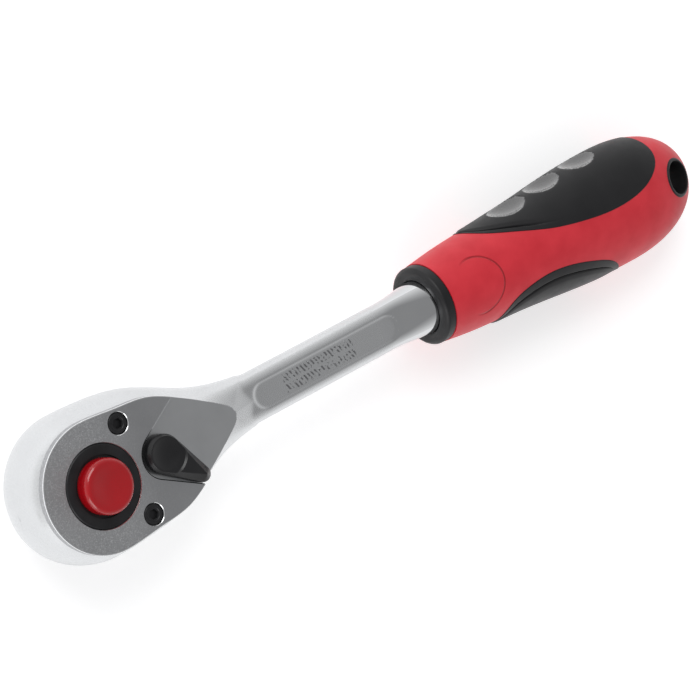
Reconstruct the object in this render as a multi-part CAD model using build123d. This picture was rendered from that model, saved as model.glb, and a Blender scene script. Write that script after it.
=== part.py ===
from build123d import *
import os
from math import asin, cos, radians, sin, sqrt

# Reversible ratchet wrench, 3/8 inch square drive, 200 mm long. All sizes in millimetres.
# The origin is the centre of the drive square's end face. +Z points out of the lever side,
# the square points down, and +X runs along the shaft towards the handle.

# --- head ---
SQUARE_SIZE = 9.53  # across the flats of the drive square
SQUARE_LENGTH = 11.0
SHOULDER_STEP = 0.5  # how far the drive's shoulder stands below the head
HEAD_HEIGHT = 16.0
COVER_THICKNESS = 1.8
FLOOR_THICKNESS = 2.3
HEAD_WALL = 5.7  # from the gear's tips to the fullest radius of the round front
FACE_INSET = 2.1  # how much smaller the cover face is than the fullest radius
BULGE_HEIGHT = 7.5  # height of the fullest outline above the underside

# --- drive gear ---
TEETH = 72
GEAR_TIP_RADIUS = 10.6
TOOTH_HEIGHT = 0.5
TIP_HALF_ANGLE = 0.6  # degrees
ROOT_HALF_ANGLE = 1.9  # degrees
HUB_RADIUS = 8.85
HUB_DEPTH = 5.2  # of the button's bore, below the cover
HUB_CHAMFER = 0.25
JOURNAL_LIP = 2.635  # from the square's flats to the journal's radius
SQUARE_CORNER = 0.8
SQUARE_CHAMFER = 0.6
WASHER_THICKNESS = 0.4

# --- release button, plunger and ball ---
BUTTON_RADIUS = 5.9
BUTTON_RISE = 2.9  # above the cover face
BUTTON_TRAVEL = 2.5
BUTTON_FLANGE = 0.6  # how far the flange stands out of the button
FLANGE_THICKNESS = 1.2
BUTTON_EDGE = 1.2  # rounding of the button's top edge
BUTTON_WALL = 1.0
BUTTON_CLIP_DEPTH = 1.2  # of the clip's lower face, below the cover face
CROWN_HEIGHT = 0.4  # of the roof inside the button, above the cover face
NECK_DEPTH = 0.9  # how much slimmer the plunger's neck is, all round
BALL_RADIUS = 1.6
BALL_STANDOUT = 0.735  # how far the ball stands out of the square
BALL_HEIGHT = 5.5  # above the square's end
BALL_GAP = 0.1
SPRING_WIRE = 0.6
SPRING_TURNS = 4

# --- pawl and reversing lever ---
PIVOT_SETBACK = 5.2  # from the gear's tips to the lever's axis
LEVER_SWING = 48.0  # degrees each side of the centre line
PAWL_SWING = 3.6  # degrees each side of the centre line
PAWL_HUB_RADIUS = 4.4
PAWL_HUB_HEIGHT = 4.6
WEB_GAP = 0.6  # from the gear's tips to the crescent between the toothed ends
PAWL_WING = 1.45  # radial thickness of the toothed ends behind the teeth
TOOTHED_FROM, TOOTHED_TO = 27.8, 41.8  # degrees from the centre line
ROOM_MARGIN = 1.7  # degrees left free past the toothed ends
TOOTH_GAP = 0.1
ROOF_THICKNESS = 1.8
BARREL_RADIUS = 2.8
JOURNAL_PIN_RADIUS = 2.0
LEVER_HUB_RADIUS = 4.25
LEVER_TIP_RADIUS = 1.75
LEVER_REACH = 10.4  # pivot to the centre of the tip
LEVER_HEIGHT = 3.3
LEVER_CHAMFER = 0.4
DISH_RADIUS = 12.0  # of the hollow on the lever's hub
DISH_RIM = 0.9
STUB_SIZE = 3.4  # square stub that carries the lever
STUB_HEIGHT = 2.0
DETENT_RADIUS = 1.0
DETENT_LENGTH = 2.2
DETENT_RISE = 2.4  # of the detent's axis, above the barrel's lower end
DETENT_WALL = 1.0  # of the barrel, behind the detent's hole
DETENT_WIRE = 0.24
DETENT_TURNS = 4
POCKET_GAP = 0.9  # round the lever's hub
POCKET_HALF_ANGLE = 30.0

# --- screws, seals, clips ---
SCREW_BACK = 2.15  # from the gear's tips in to the screws' axes, along the wrench
SCREW_SIDE = 0.3  # the same, across the wrench
SCREW_HEAD_RADIUS = 2.2
SCREW_HEAD_HEIGHT = 1.3
SCREW_SHANK_RADIUS = 1.25
SCREW_LENGTH = 6.5  # below the head
SCREW_SOCKET = 2.0  # across the flats of the hexagon socket
SOCKET_DEPTH = 0.9
SCREW_SINK = 0.15  # how far the head lies below the cover face
SEAL_WIRE = 0.4
CLIP_THICKNESS = 0.6
CLIP_WIDTH = 0.9  # how far the lever's clip stands out of its shaft
CLIP_BITE = 0.4  # how far a clip sits in its groove
CLIP_MOUTH = 1.8
CLIP_RISE = 0.5  # of the lever's clip, above the underside

# --- shaft ---
AXIS_BELOW_FACE = 7.1
SHAFT_WIDTH = 11.0
SHAFT_THICKNESS = 7.0
SHAFT_CORNER = 3.2
NECK_LENGTH = 29.7  # from the fullest radius to the plain shank
TAIL_HALF_WIDTH = 1.2  # of the cover face's pointed end
TAIL_INSET = 1.2  # how far the head's tail stops inside the shank's sides
TAIL_SINK = 0.4  # and inside its flats
DECK_RUN = 10.0  # the top starts to fall this far before the neck's end
UNDERSIDE_RUN = 28.0  # and the underside starts to rise this far before it
TAIL_OVERRUN = 2.0  # how far the head's tail runs on into the shank
FLARE_LENGTH = 11.3
FLARE_RADIUS = 6.4
TANG_STEP = 1.4  # how much slimmer the tang is than the flare, all round
TANG_COVER = 9.9  # solid core beyond the tang

# --- handle ---
COLLAR_START = 94.3
COLLAR_LENGTH = 2.8
COLLAR_WALL = 2.9
COLLAR_CHAMFER = 0.8
SHELL_STEP = 0.15  # how far the shell stands out of the collar
HANDLE_LENGTH = 84.7  # collar included
CAP_LENGTH = 24.0  # length of the rounded end
CAP_FULLNESS = 2.28  # 2 is an ellipse in plan, more is squarer
PALM_HALF_WIDTH = 14.1
PALM_HALF_HEIGHT = 10.7
CORE_WALL = 1.0  # round the flare
SEAT_LENGTH = 2.0  # of the flare's full radius inside the core
CORE_END_GAP = 14.4  # solid shell between the core and the hanging hole
PAD_DEPTH = 1.6
HANG_FROM_END = 7.6
HANG_RADIUS = 3.95
BUSH_WALL = 0.8
SCALLOP_DEPTH = 1.1
SCALLOP_RADIUS = 7.0

# --- clearances ---
RUNNING = 0.05  # radial, round fits that turn or slide
SIDE_GAP = 0.1  # flat faces that move past each other
FREE_GAP = 0.3  # anything that has to stay well clear

# --- levels and radii worked out from the sizes above ---
HEAD_RADIUS = GEAR_TIP_RADIUS + HEAD_WALL  # fullest radius of the round front
FACE_RADIUS = HEAD_RADIUS - FACE_INSET  # radius of the cover face at the round front
NECK_END = HEAD_RADIUS + NECK_LENGTH
JOURNAL_RADIUS = SQUARE_SIZE / 2 + JOURNAL_LIP
PLUNGER_RADIUS = SQUARE_SIZE / 2 + BALL_STANDOUT - 2 * BALL_RADIUS - BALL_GAP
PLUNGER_NECK = PLUNGER_RADIUS - NECK_DEPTH
PIVOT_X = GEAR_TIP_RADIUS + PIVOT_SETBACK
PAWL_WEB_RADIUS = GEAR_TIP_RADIUS + WEB_GAP
POCKET_RADIUS = LEVER_HUB_RADIUS + POCKET_GAP
SCREW_X = GEAR_TIP_RADIUS - SCREW_BACK
SCREW_Y = GEAR_TIP_RADIUS - SCREW_SIDE
FLARE_START = COLLAR_START - FLARE_LENGTH
TANG_RADIUS = FLARE_RADIUS - TANG_STEP
COLLAR_RADIUS = FLARE_RADIUS + COLLAR_WALL
CORE_RADIUS = FLARE_RADIUS + CORE_WALL
HANDLE_END = COLLAR_START + HANDLE_LENGTH
UNDERSIDE = SQUARE_LENGTH + SHOULDER_STEP
FACE = UNDERSIDE + HEAD_HEIGHT
DECK = FACE - COVER_THICKNESS  # top of the forging, under the cover
FLOOR = UNDERSIDE + FLOOR_THICKNESS
ROOF = DECK - ROOF_THICKNESS
AXIS = FACE - AXIS_BELOW_FACE
GEAR_BOTTOM = FLOOR + SIDE_GAP
GEAR_TOP = DECK - WASHER_THICKNESS - SIDE_GAP
HUB_BORE = BUTTON_RADIUS + BUTTON_FLANGE + SIDE_GAP
HUB_FLOOR = DECK - HUB_DEPTH
BALL_X = PLUNGER_RADIUS + BALL_RADIUS + BALL_GAP
BALL_TRAVEL = PLUNGER_RADIUS - PLUNGER_NECK - RUNNING
BACK_WALL = BARREL_RADIUS + 2 * FREE_GAP  # radius of the pawl's back wall about the pivot
CAP_START = HANDLE_END - CAP_LENGTH
HANG_X = HANDLE_END - HANG_FROM_END
HANDLE_START = COLLAR_START + COLLAR_LENGTH
CORE_END = HANG_X - CORE_END_GAP
TANG_LENGTH = CORE_END - HANDLE_START - TANG_COVER

FAR = 60.0  # size of cutting blocks, larger than the head


def disc(radius, low, high, x=0.0, y=0.0):
    """Upright cylinder between two heights."""
    return Pos(x, y, (low + high) / 2) * Cylinder(radius, high - low)


def ring(outer, inner, low, high, x=0.0, y=0.0):
    """Upright tube between two heights."""
    return disc(outer, low, high, x, y) - disc(inner, low, high, x, y)


def slab(profile, low, high):
    """Flat profile raised from one height to another."""
    return Pos(0, 0, low) * extrude(profile, high - low)


def polar(radius, angle):
    """Point at a radius and an angle in degrees."""
    return (radius * cos(radians(angle)), radius * sin(radians(angle)))


def sector(inner, outer, start, end, x=0.0, y=0.0):
    """Flat ring sector between two angles in degrees."""
    middle = (start + end) / 2
    corners = [(0, 0)] + [polar(3 * outer, a) for a in (start, middle, end)]
    wedge = make_face(Polyline(*corners, close=True))
    flat = Circle(outer) - Circle(inner) if inner > 0 else Circle(outer)
    return Pos(x, y) * (flat & wedge)


def about_pivot(shape, angle):
    """Turn a shape about the lever's pivot."""
    return Pos(PIVOT_X, 0, 0) * Rot(0, 0, angle) * Pos(-PIVOT_X, 0, 0) * shape


def coil(mean_radius, wire, height, turns):
    """Round wire wound about Z, standing on the plane z = 0."""
    rise = height - 2 * wire
    path = Pos(0, 0, wire) * Helix(rise / turns, rise, mean_radius)
    start = Plane(origin=path @ 0, z_dir=path % 0)
    return sweep(start * Circle(wire), path=path, is_frenet=True)


# --- forged body -------------------------------------------------------------------------

# Half outline of the head behind its round front, as how much further along and how much
# wider each point is than the front's radius: on the cover face, then at the fullest level.
SHOULDERS = (
    ((-4.8, -0.75), (-8.3, -0.3)),
    ((2.8, -1.7), (0.7, -1.7)),
    ((9.8, -4.9), (7.7, -4.5)),
    ((15.8, -8.4), (15.7, -8.1)),
)
FACE_TAIL = 22.2  # the cover face ends this far beyond its radius
# The head's levels from the underside to the deck: (share of the height, fullness).
LEVELS = ((0.0, 0.15), (0.16, 0.74), (BULGE_HEIGHT / (DECK - UNDERSIDE), 1.0), (0.84, 0.58),
          (1.0, 0.0))


def pear(fullness):
    """Outline of the head. Fullness is 0 on the cover face and 1 at the fullest level."""
    def between(narrow, full):
        return narrow + fullness * (full - narrow)

    front = between(FACE_RADIUS, HEAD_RADIUS)
    side = [(0.0, front)]
    for face, full in SHOULDERS:
        side.append((front + between(face[0], full[0]), front + between(face[1], full[1])))
    side.append((between(FACE_RADIUS + FACE_TAIL, NECK_END - TAIL_OVERRUN),
                 between(TAIL_HALF_WIDTH, SHAFT_WIDTH / 2 - TAIL_INSET)))
    other = [(x, -y) for x, y in reversed(side)]
    tail_run = (side[-1][0] - side[-2][0], side[-1][1] - side[-2][1])
    upper = Spline(*side, tangents=[(1, 0), tail_run])
    lower = Spline(*other, tangents=[(-tail_run[0], tail_run[1]), (-1, 0)])
    nose = ThreePointArc((0, -front), (-front, 0), (0, front))
    return make_face([nose, upper, Line(side[-1], other[0]), lower])


def head_blank():
    """Bulged pear-shaped head, trimmed to the side view of the forging."""
    height = DECK - UNDERSIDE
    blank = loft([Pos(0, 0, UNDERSIDE + share * height) * pear(full) for share, full in LEVELS])
    half_tail = SHAFT_THICKNESS / 2 - TAIL_SINK
    shaft_top, shaft_bottom = AXIS + half_tail, AXIS - half_tail
    tail = NECK_END + TAIL_OVERRUN
    deck_end, underside_end = NECK_END - DECK_RUN, NECK_END - UNDERSIDE_RUN
    side_view = make_face([
        Line((-FAR, UNDERSIDE), (-FAR, DECK)),
        Line((-FAR, DECK), (deck_end, DECK)),
        Spline((deck_end, DECK), (tail, shaft_top), tangents=[(1, -0.3), (1, 0)]),
        Line((tail, shaft_top), (tail, shaft_bottom)),
        Spline((tail, shaft_bottom), (underside_end, UNDERSIDE), tangents=[(-1, 0), (-1, 0)]),
        Line((underside_end, UNDERSIDE), (-FAR, UNDERSIDE)),
    ])
    return blank & extrude(Plane.XZ * side_view, FAR / 2, both=True)


def across(x):
    """Plane across the shaft, with its own X along +Y and its own Y along +Z."""
    return Plane(origin=(x, 0, AXIS), x_dir=(0, 1, 0), z_dir=(1, 0, 0))


def shaft():
    """Flattened shank, the round flare in front of the handle, and the tang inside it."""
    bar = RectangleRounded(SHAFT_WIDTH, SHAFT_THICKNESS, SHAFT_CORNER)
    start = PIVOT_X + PAWL_HUB_RADIUS + 2
    shank = loft([across(start) * bar, across(FLARE_START) * bar])
    flare = loft([across(FLARE_START) * bar, across(COLLAR_START) * Circle(FLARE_RADIUS)])
    seat = extrude(across(COLLAR_START) * Circle(FLARE_RADIUS), COLLAR_LENGTH + SEAT_LENGTH)
    tang = extrude(across(HANDLE_START) * Circle(TANG_RADIUS), TANG_LENGTH)
    return shank + flare + seat + tang


def wing_radius():
    """Outer radius of the pawl's toothed ends while they are in mesh."""
    return GEAR_TIP_RADIUS + TOOTH_GAP + PAWL_WING


def pawl_room():
    """Hollow for the pawl, under the roof of the forging."""
    lift = 2 * radians(PAWL_SWING) * PIVOT_X * sin(radians(TOOTHED_TO))
    outer = wing_radius() + lift + FREE_GAP
    end = TOOTHED_TO + ROOM_MARGIN
    room = sector(0, outer, -end, end)
    room += Pos(PIVOT_X, 0) * Circle(PAWL_HUB_RADIUS + FREE_GAP)
    return slab(room, FLOOR, ROOF)


def ratchet_body():
    """Forged head and shank with the hollows for the drive gear, the pawl and the lever."""
    body = head_blank() + shaft()
    body -= disc(GEAR_TIP_RADIUS + SIDE_GAP, FLOOR, DECK + 1)
    body -= pawl_room()
    body -= disc(JOURNAL_RADIUS + RUNNING, UNDERSIDE - 1, FLOOR + 1)
    body -= drive_seal_groove()
    body -= disc(BARREL_RADIUS + RUNNING, ROOF - 1, DECK + 1, PIVOT_X)
    body -= disc(JOURNAL_PIN_RADIUS + RUNNING, UNDERSIDE - 1, FLOOR + 1, PIVOT_X)
    clip_room = JOURNAL_PIN_RADIUS + CLIP_WIDTH + CLIP_BITE
    clip_roof = lever_clip_level() + CLIP_THICKNESS + SIDE_GAP
    body -= disc(clip_room, UNDERSIDE - 1, clip_roof, PIVOT_X)
    depth = screw_seat() - SCREW_LENGTH - FREE_GAP
    for y in (-SCREW_Y, SCREW_Y):
        body -= disc(SCREW_SHANK_RADIUS, depth, DECK + 1, SCREW_X, y)
    return body


# --- cover, screws and seals ---------------------------------------------------------------


def screw_seat():
    """Height of the counterbore's floor in the cover."""
    return FACE - SCREW_HEAD_HEIGHT - SCREW_SINK


def cover_plate():
    """Pear-shaped cover with the fan-shaped pocket that the lever swings in."""
    plate = slab(pear(0), DECK, FACE)
    half = radians(POCKET_HALF_ANGLE)
    tangent = (PIVOT_X - POCKET_RADIUS * sin(half), POCKET_RADIUS * cos(half))
    far = (tangent[0] + FAR * cos(half), tangent[1] + FAR * sin(half))
    fan = make_face(Polyline(tangent, far, (far[0], -far[1]), (tangent[0], -tangent[1]),
                             close=True))
    fan += Pos(PIVOT_X, 0) * Circle(POCKET_RADIUS)
    plate -= slab(fan, DECK - 1, FACE + 1)
    plate -= disc(HUB_RADIUS + RUNNING, DECK - 1, FACE + 1)
    for y in (-SCREW_Y, SCREW_Y):
        plate -= disc(SCREW_SHANK_RADIUS + SIDE_GAP, DECK - 1, FACE + 1, SCREW_X, y)
        plate -= disc(SCREW_HEAD_RADIUS + 2 * SIDE_GAP, screw_seat(), FACE + 1, SCREW_X, y)
    return plate


def cover_screws():
    """Two socket-head screws that hold the cover down."""
    screws = []
    top = screw_seat() + SCREW_HEAD_HEIGHT
    for y in (-SCREW_Y, SCREW_Y):
        screw = disc(SCREW_HEAD_RADIUS, screw_seat(), top, SCREW_X, y)
        screw += disc(SCREW_SHANK_RADIUS, screw_seat() - SCREW_LENGTH, screw_seat(), SCREW_X, y)
        socket = Pos(SCREW_X, y) * RegularPolygon(SCREW_SOCKET / 2, 6, major_radius=False)
        screws.append(screw - slab(socket, top - SOCKET_DEPTH, top + 1))
    return Compound(screws)


def thrust_washer():
    """Thin washer between the gear's top and the cover."""
    low = GEAR_TOP + SIDE_GAP / 2
    return ring(GEAR_TIP_RADIUS - 2 * SIDE_GAP, HUB_RADIUS + SIDE_GAP, low,
                low + WASHER_THICKNESS)


def drive_seal_groove():
    """Groove in the floor's bore for the drive seal."""
    middle = UNDERSIDE + FLOOR_THICKNESS / 2
    radius = JOURNAL_RADIUS + RUNNING + 2 * SEAL_WIRE
    return disc(radius, middle - SEAL_WIRE, middle + SEAL_WIRE)


def drive_seal():
    """Round rubber ring in the floor's bore, around the drive's journal."""
    middle = UNDERSIDE + FLOOR_THICKNESS / 2
    return Pos(0, 0, middle) * Torus(JOURNAL_RADIUS + RUNNING + SEAL_WIRE, SEAL_WIRE)


# --- drive gear with the quick-release parts -----------------------------------------------


def gear_outline(tip, root, extra=0.0):
    """Toothed outline. Extra widens each tooth by that many degrees on each side."""
    points = []
    for tooth in range(TEETH):
        middle = (tooth + 0.5) * 360 / TEETH
        points.append(polar(root, middle - ROOT_HALF_ANGLE - extra))
        points.append(polar(tip, middle - TIP_HALF_ANGLE - extra))
        points.append(polar(tip, middle + TIP_HALF_ANGLE + extra))
        points.append(polar(root, middle + ROOT_HALF_ANGLE + extra))
    return make_face(Polyline(*points, close=True))


def plunger_bottom():
    """Height of the plunger's lower end at rest."""
    return BALL_HEIGHT - BALL_RADIUS


def button_clip_level():
    """Height of the clip that keeps the button in."""
    return FACE - BUTTON_CLIP_DEPTH


def drive_gear():
    """Gear, top hub, journal and drive square in one piece."""
    square = RectangleRounded(SQUARE_SIZE, SQUARE_SIZE, SQUARE_CORNER)
    drive = slab(square, 0, SQUARE_LENGTH)
    drive = chamfer(drive.edges().group_by(Axis.Z)[0], SQUARE_CHAMFER)
    drive += disc(JOURNAL_RADIUS, SQUARE_LENGTH, GEAR_BOTTOM)
    gear = gear_outline(GEAR_TIP_RADIUS, GEAR_TIP_RADIUS - TOOTH_HEIGHT)
    drive += slab(gear, GEAR_BOTTOM, GEAR_TOP)
    hub = disc(HUB_RADIUS, GEAR_TOP, FACE)
    drive += chamfer(hub.edges().group_by(Axis.Z)[-1], HUB_CHAMFER)
    drive -= disc(HUB_BORE, HUB_FLOOR, FACE + 1)
    clip_low = button_clip_level()
    drive -= disc(HUB_BORE + CLIP_BITE, clip_low, clip_low + CLIP_THICKNESS + SIDE_GAP)
    drive -= disc(PLUNGER_RADIUS + RUNNING, plunger_bottom() - BUTTON_TRAVEL - FREE_GAP,
                  HUB_FLOOR + 1)
    hole = Cylinder(BALL_RADIUS + RUNNING, SQUARE_SIZE)
    drive -= Pos(-SQUARE_SIZE / 2, 0, BALL_HEIGHT) * Rot(0, 90, 0) * hole
    return drive


def release_button():
    """Domed cap with a flange under the clip and a hollow for the spring."""
    flange_top = button_clip_level() - SIDE_GAP
    top = FACE + BUTTON_RISE
    button = disc(BUTTON_RADIUS, flange_top, top)
    button = fillet(button.edges().group_by(Axis.Z)[-1], BUTTON_EDGE)
    flange_bottom = flange_top - FLANGE_THICKNESS
    button += disc(BUTTON_RADIUS + BUTTON_FLANGE, flange_bottom, flange_top)
    button -= disc(BUTTON_RADIUS - BUTTON_WALL, flange_bottom - 1, spring_top())
    return button


def spring_top():
    """Height of the roof inside the button, where the spring ends."""
    return FACE + CROWN_HEIGHT


def release_plunger():
    """Rod that holds the ball out, with a neck that lets it in when the button is pressed."""
    neck_low = BALL_HEIGHT + NECK_DEPTH
    neck_high = BALL_HEIGHT + BUTTON_TRAVEL + BALL_RADIUS
    rod = disc(PLUNGER_RADIUS, plunger_bottom(), spring_top())
    rod -= ring(PLUNGER_RADIUS + 1, PLUNGER_NECK, neck_low, neck_high)
    cone_middle = neck_low - NECK_DEPTH / 2
    cone = Pos(0, 0, cone_middle) * Cone(PLUNGER_RADIUS, PLUNGER_NECK, NECK_DEPTH)
    rod -= ring(PLUNGER_RADIUS + 1, PLUNGER_NECK / 2, neck_low - NECK_DEPTH, neck_low) - cone
    return rod


def release_spring():
    """Coil spring that lifts the button."""
    mean = BUTTON_RADIUS - BUTTON_WALL - SPRING_WIRE / 2 - FREE_GAP
    spring = coil(mean, SPRING_WIRE / 2, spring_top() - HUB_FLOOR, SPRING_TURNS)
    return Pos(0, 0, HUB_FLOOR) * spring


def button_clip():
    """Ring in the hub's groove that keeps the button's flange in."""
    low = button_clip_level()
    outer = HUB_BORE + CLIP_BITE - SIDE_GAP
    return ring(outer, BUTTON_RADIUS + RUNNING, low, low + CLIP_THICKNESS)


def retaining_ball():
    """Ball that stands out of one face of the square and holds the socket."""
    return Pos(-BALL_X, 0, BALL_HEIGHT) * Sphere(BALL_RADIUS)


# --- pawl ------------------------------------------------------------------------------------


def toothed_end():
    """Upper toothed end of the pawl, in mesh with the gear."""
    tips = GEAR_TIP_RADIUS - TOOTH_HEIGHT + TOOTH_GAP
    block = sector(tips, wing_radius(), TOOTHED_FROM, TOOTHED_TO)
    root = GEAR_TIP_RADIUS - TOOTH_HEIGHT
    return block - gear_outline(GEAR_TIP_RADIUS + TOOTH_GAP, root, extra=0.25)


def pawl():
    """Rocking crescent with teeth at both ends, on the lever's pivot."""
    end = about_pivot(toothed_end(), -PAWL_SWING)
    outer = PAWL_WEB_RADIUS + PAWL_WING
    web = sector(PAWL_WEB_RADIUS, outer, -TOOTHED_TO + 1, TOOTHED_TO - 1)
    web -= sector(0, outer + 1, TOOTHED_FROM + 3, TOOTHED_TO)
    web -= sector(0, outer + 1, -TOOTHED_TO, -TOOTHED_FROM - 3)
    horns = sector(BACK_WALL, PAWL_HUB_RADIUS, 105, 255, x=PIVOT_X)
    crescent = web + horns + end + mirror(end, Plane.XZ)
    crescent -= Pos(PIVOT_X, 0) * Circle(BACK_WALL)
    low = FLOOR + SIDE_GAP
    body = slab(crescent, low, ROOF - SIDE_GAP)
    hub = Pos(PIVOT_X, 0) * Circle(PAWL_HUB_RADIUS) - Circle(PAWL_WEB_RADIUS)
    body += slab(hub, low, low + PAWL_HUB_HEIGHT)
    body -= disc(JOURNAL_PIN_RADIUS + RUNNING, low - 1, low + PAWL_HUB_HEIGHT + 1, PIVOT_X)
    return about_pivot(body, PAWL_SWING)


# --- reversing lever ----------------------------------------------------------------------


def lever_bottom():
    """Height of the lever's underside, just above the forging."""
    return DECK + SIDE_GAP


def lever_clip_level():
    """Height of the clip under the floor that holds the lever's shaft."""
    return UNDERSIDE + CLIP_RISE


def at_lever(shape):
    """Put a shape made about the origin, with the lever along +X, at its rest position."""
    return Pos(PIVOT_X, 0, 0) * Rot(0, 0, -LEVER_SWING) * shape


def reverse_lever():
    """Tapered lever with a shallow round dish on its hub."""
    low, high = lever_bottom(), lever_bottom() + LEVER_HEIGHT
    lean = asin((LEVER_HUB_RADIUS - LEVER_TIP_RADIUS) / LEVER_REACH)
    hub_edge = (LEVER_HUB_RADIUS * sin(lean), LEVER_HUB_RADIUS * cos(lean))
    tip_edge = (LEVER_REACH + LEVER_TIP_RADIUS * sin(lean), LEVER_TIP_RADIUS * cos(lean))
    taper = make_face(Polyline(hub_edge, tip_edge, (tip_edge[0], -tip_edge[1]),
                               (hub_edge[0], -hub_edge[1]), close=True))
    outline = Circle(LEVER_HUB_RADIUS) + taper + Pos(LEVER_REACH, 0) * Circle(LEVER_TIP_RADIUS)
    lever = slab(outline, low, high)
    lever = chamfer(lever.edges().group_by(Axis.Z)[-1], LEVER_CHAMFER)
    rise = sqrt(DISH_RADIUS ** 2 - (LEVER_HUB_RADIUS - DISH_RIM) ** 2)
    lever -= Pos(0, 0, high + rise) * Sphere(DISH_RADIUS)
    socket = Rectangle(STUB_SIZE, STUB_SIZE)
    lever -= slab(socket, low - 1, low + STUB_HEIGHT)
    return at_lever(lever)


def seal_level():
    """Middle height of the seal on the selector shaft, within the roof."""
    return ROOF + ROOF_THICKNESS / 2


def barrel_bottom():
    """Height of the barrel's lower end, just above the pawl's hub."""
    return FLOOR + SIDE_GAP + PAWL_HUB_HEIGHT + SIDE_GAP


def detent_level():
    """Height of the detent's axis, above the pawl's hub."""
    return barrel_bottom() + DETENT_RISE


def detent_depth():
    """How far past the shaft's axis the detent's hole goes."""
    return BARREL_RADIUS - DETENT_WALL


def selector_shaft():
    """Shaft that the lever turns: stub, barrel with the detent's hole, and lower journal."""
    part = disc(BARREL_RADIUS, barrel_bottom(), lever_bottom())
    part += slab(Rectangle(STUB_SIZE, STUB_SIZE), lever_bottom(), lever_bottom() + STUB_HEIGHT)
    part += disc(JOURNAL_PIN_RADIUS, UNDERSIDE + 2 * SIDE_GAP, barrel_bottom())
    part -= ring(BARREL_RADIUS + 1, BARREL_RADIUS - 2 * SEAL_WIRE, seal_level() - SEAL_WIRE,
                 seal_level() + SEAL_WIRE)
    part -= ring(JOURNAL_PIN_RADIUS + 1, JOURNAL_PIN_RADIUS - CLIP_BITE, lever_clip_level(),
                 lever_clip_level() + CLIP_THICKNESS)
    length = BARREL_RADIUS + detent_depth()
    hole = Pos(detent_depth() - length / 2, 0, detent_level()) * Rot(0, 90, 0)
    part -= hole * Cylinder(DETENT_RADIUS + RUNNING, length)
    return at_lever(part)


def detent_pin():
    """Round-nosed pin that presses on the pawl's back wall."""
    nose = BARREL_RADIUS + FREE_GAP
    pin = Pos(-nose + DETENT_RADIUS, 0, detent_level()) * Sphere(DETENT_RADIUS)
    rod = Cylinder(DETENT_RADIUS, DETENT_LENGTH - DETENT_RADIUS)
    middle = -nose + (DETENT_LENGTH + DETENT_RADIUS) / 2
    pin += Pos(middle, 0, detent_level()) * Rot(0, 90, 0) * rod
    return at_lever(pin)


def detent_spring():
    """Small coil spring behind the detent pin."""
    pin_back = DETENT_LENGTH - (BARREL_RADIUS + FREE_GAP)
    spring = coil(DETENT_RADIUS - DETENT_WIRE, DETENT_WIRE / 2, detent_depth() - pin_back,
                  DETENT_TURNS)
    return at_lever(Pos(pin_back, 0, detent_level()) * Rot(0, 90, 0) * spring)


def lever_seal():
    """Round rubber ring on the selector shaft."""
    middle = BARREL_RADIUS - SEAL_WIRE
    return Pos(PIVOT_X, 0, seal_level()) * Torus(middle, SEAL_WIRE)


def lever_clip():
    """Split clip in the journal's groove, under the head."""
    low = lever_clip_level()
    clip = ring(JOURNAL_PIN_RADIUS + CLIP_WIDTH, JOURNAL_PIN_RADIUS - CLIP_BITE, low,
                low + CLIP_THICKNESS)
    mouth = Pos(JOURNAL_PIN_RADIUS, 0, low) * Box(2 * JOURNAL_PIN_RADIUS, CLIP_MOUTH,
                                                  4 * CLIP_THICKNESS)
    return at_lever(clip - mouth)


# --- handle ----------------------------------------------------------------------------------

# Handle sections from the collar to the widest place: (share of the way, share of the growth
# in width, share of the growth in height).
GROWTH = ((0.0, 0.0, 0.0), (0.15, 0.22, 0.2), (0.36, 0.38, 0.5), (0.67, 0.76, 0.9),
          (1.0, 1.0, 1.0))
CAP_ANGLES = (18, 36, 52, 66, 78, 86.5)  # sections of the rounded end, in degrees


def handle_solid(inset=0.0):
    """Outer form of the handle, or the same form set in on all sides."""
    start = COLLAR_RADIUS + SHELL_STEP
    sections = []
    for way, wide, high in GROWTH:
        x = HANDLE_START + way * (CAP_START - HANDLE_START)
        half_width = start + wide * (PALM_HALF_WIDTH - start) - inset
        half_height = start + high * (PALM_HALF_HEIGHT - start) - inset
        sections.append(across(x) * Ellipse(half_width, half_height))
    for angle in CAP_ANGLES:
        x = CAP_START + (CAP_LENGTH - inset) * sin(radians(angle))
        shrink = (1 - sin(radians(angle)) ** CAP_FULLNESS) ** (1 / CAP_FULLNESS)
        sections.append(across(x) * Ellipse((PALM_HALF_WIDTH - inset) * shrink,
                                            (PALM_HALF_HEIGHT - inset) * shrink))
    return loft(sections)


# The grip is drawn for a handle of this length and half width, and stretches with it.
DRAWN_LENGTH, DRAWN_HALF_WIDTH = 84.7, 14.1
# Edges of the two soft pads in plan, as (distance from the collar's front, half width).
UPPER_EDGE = ((14.5, 12.4), (18.5, 9.9), (25.7, 7.0), (34.6, 4.0), (44.5, 1.9), (54.0, 0.9),
              (62.0, 1.5), (69.0, 4.0), (72.6, 7.8), (72.2, 11.5), (67.5, 16.5))
LOWER_EDGE = ((15.6, -13.2), (17.3, -9.8), (19.9, -7.2), (24.8, -5.5), (31.0, -4.9),
              (38.2, -5.8), (45.0, -7.7), (51.8, -10.7), (57.2, -15.4))
# Middles of the finger hollows, on the handle's side.
HOLLOWS = ((30.3, 11.8), (42.0, 12.9), (54.4, 13.8))


def on_grip(point):
    """Plan position of a point that is drawn on the grip."""
    return (COLLAR_START + point[0] * HANDLE_LENGTH / DRAWN_LENGTH,
            point[1] * PALM_HALF_WIDTH / DRAWN_HALF_WIDTH)


def pad_prism(outline):
    """Upright block over a pad's outline in plan."""
    points = [on_grip(point) for point in outline]
    side = 1 if points[0][1] > 0 else -1
    far_y = side * 2 * PALM_HALF_WIDTH
    wall = Polyline(points[-1], (points[-1][0], far_y), (points[0][0], far_y), points[0])
    return slab(make_face([Spline(*points), wall]), AXIS - FAR / 2, AXIS + FAR / 2)


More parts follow.
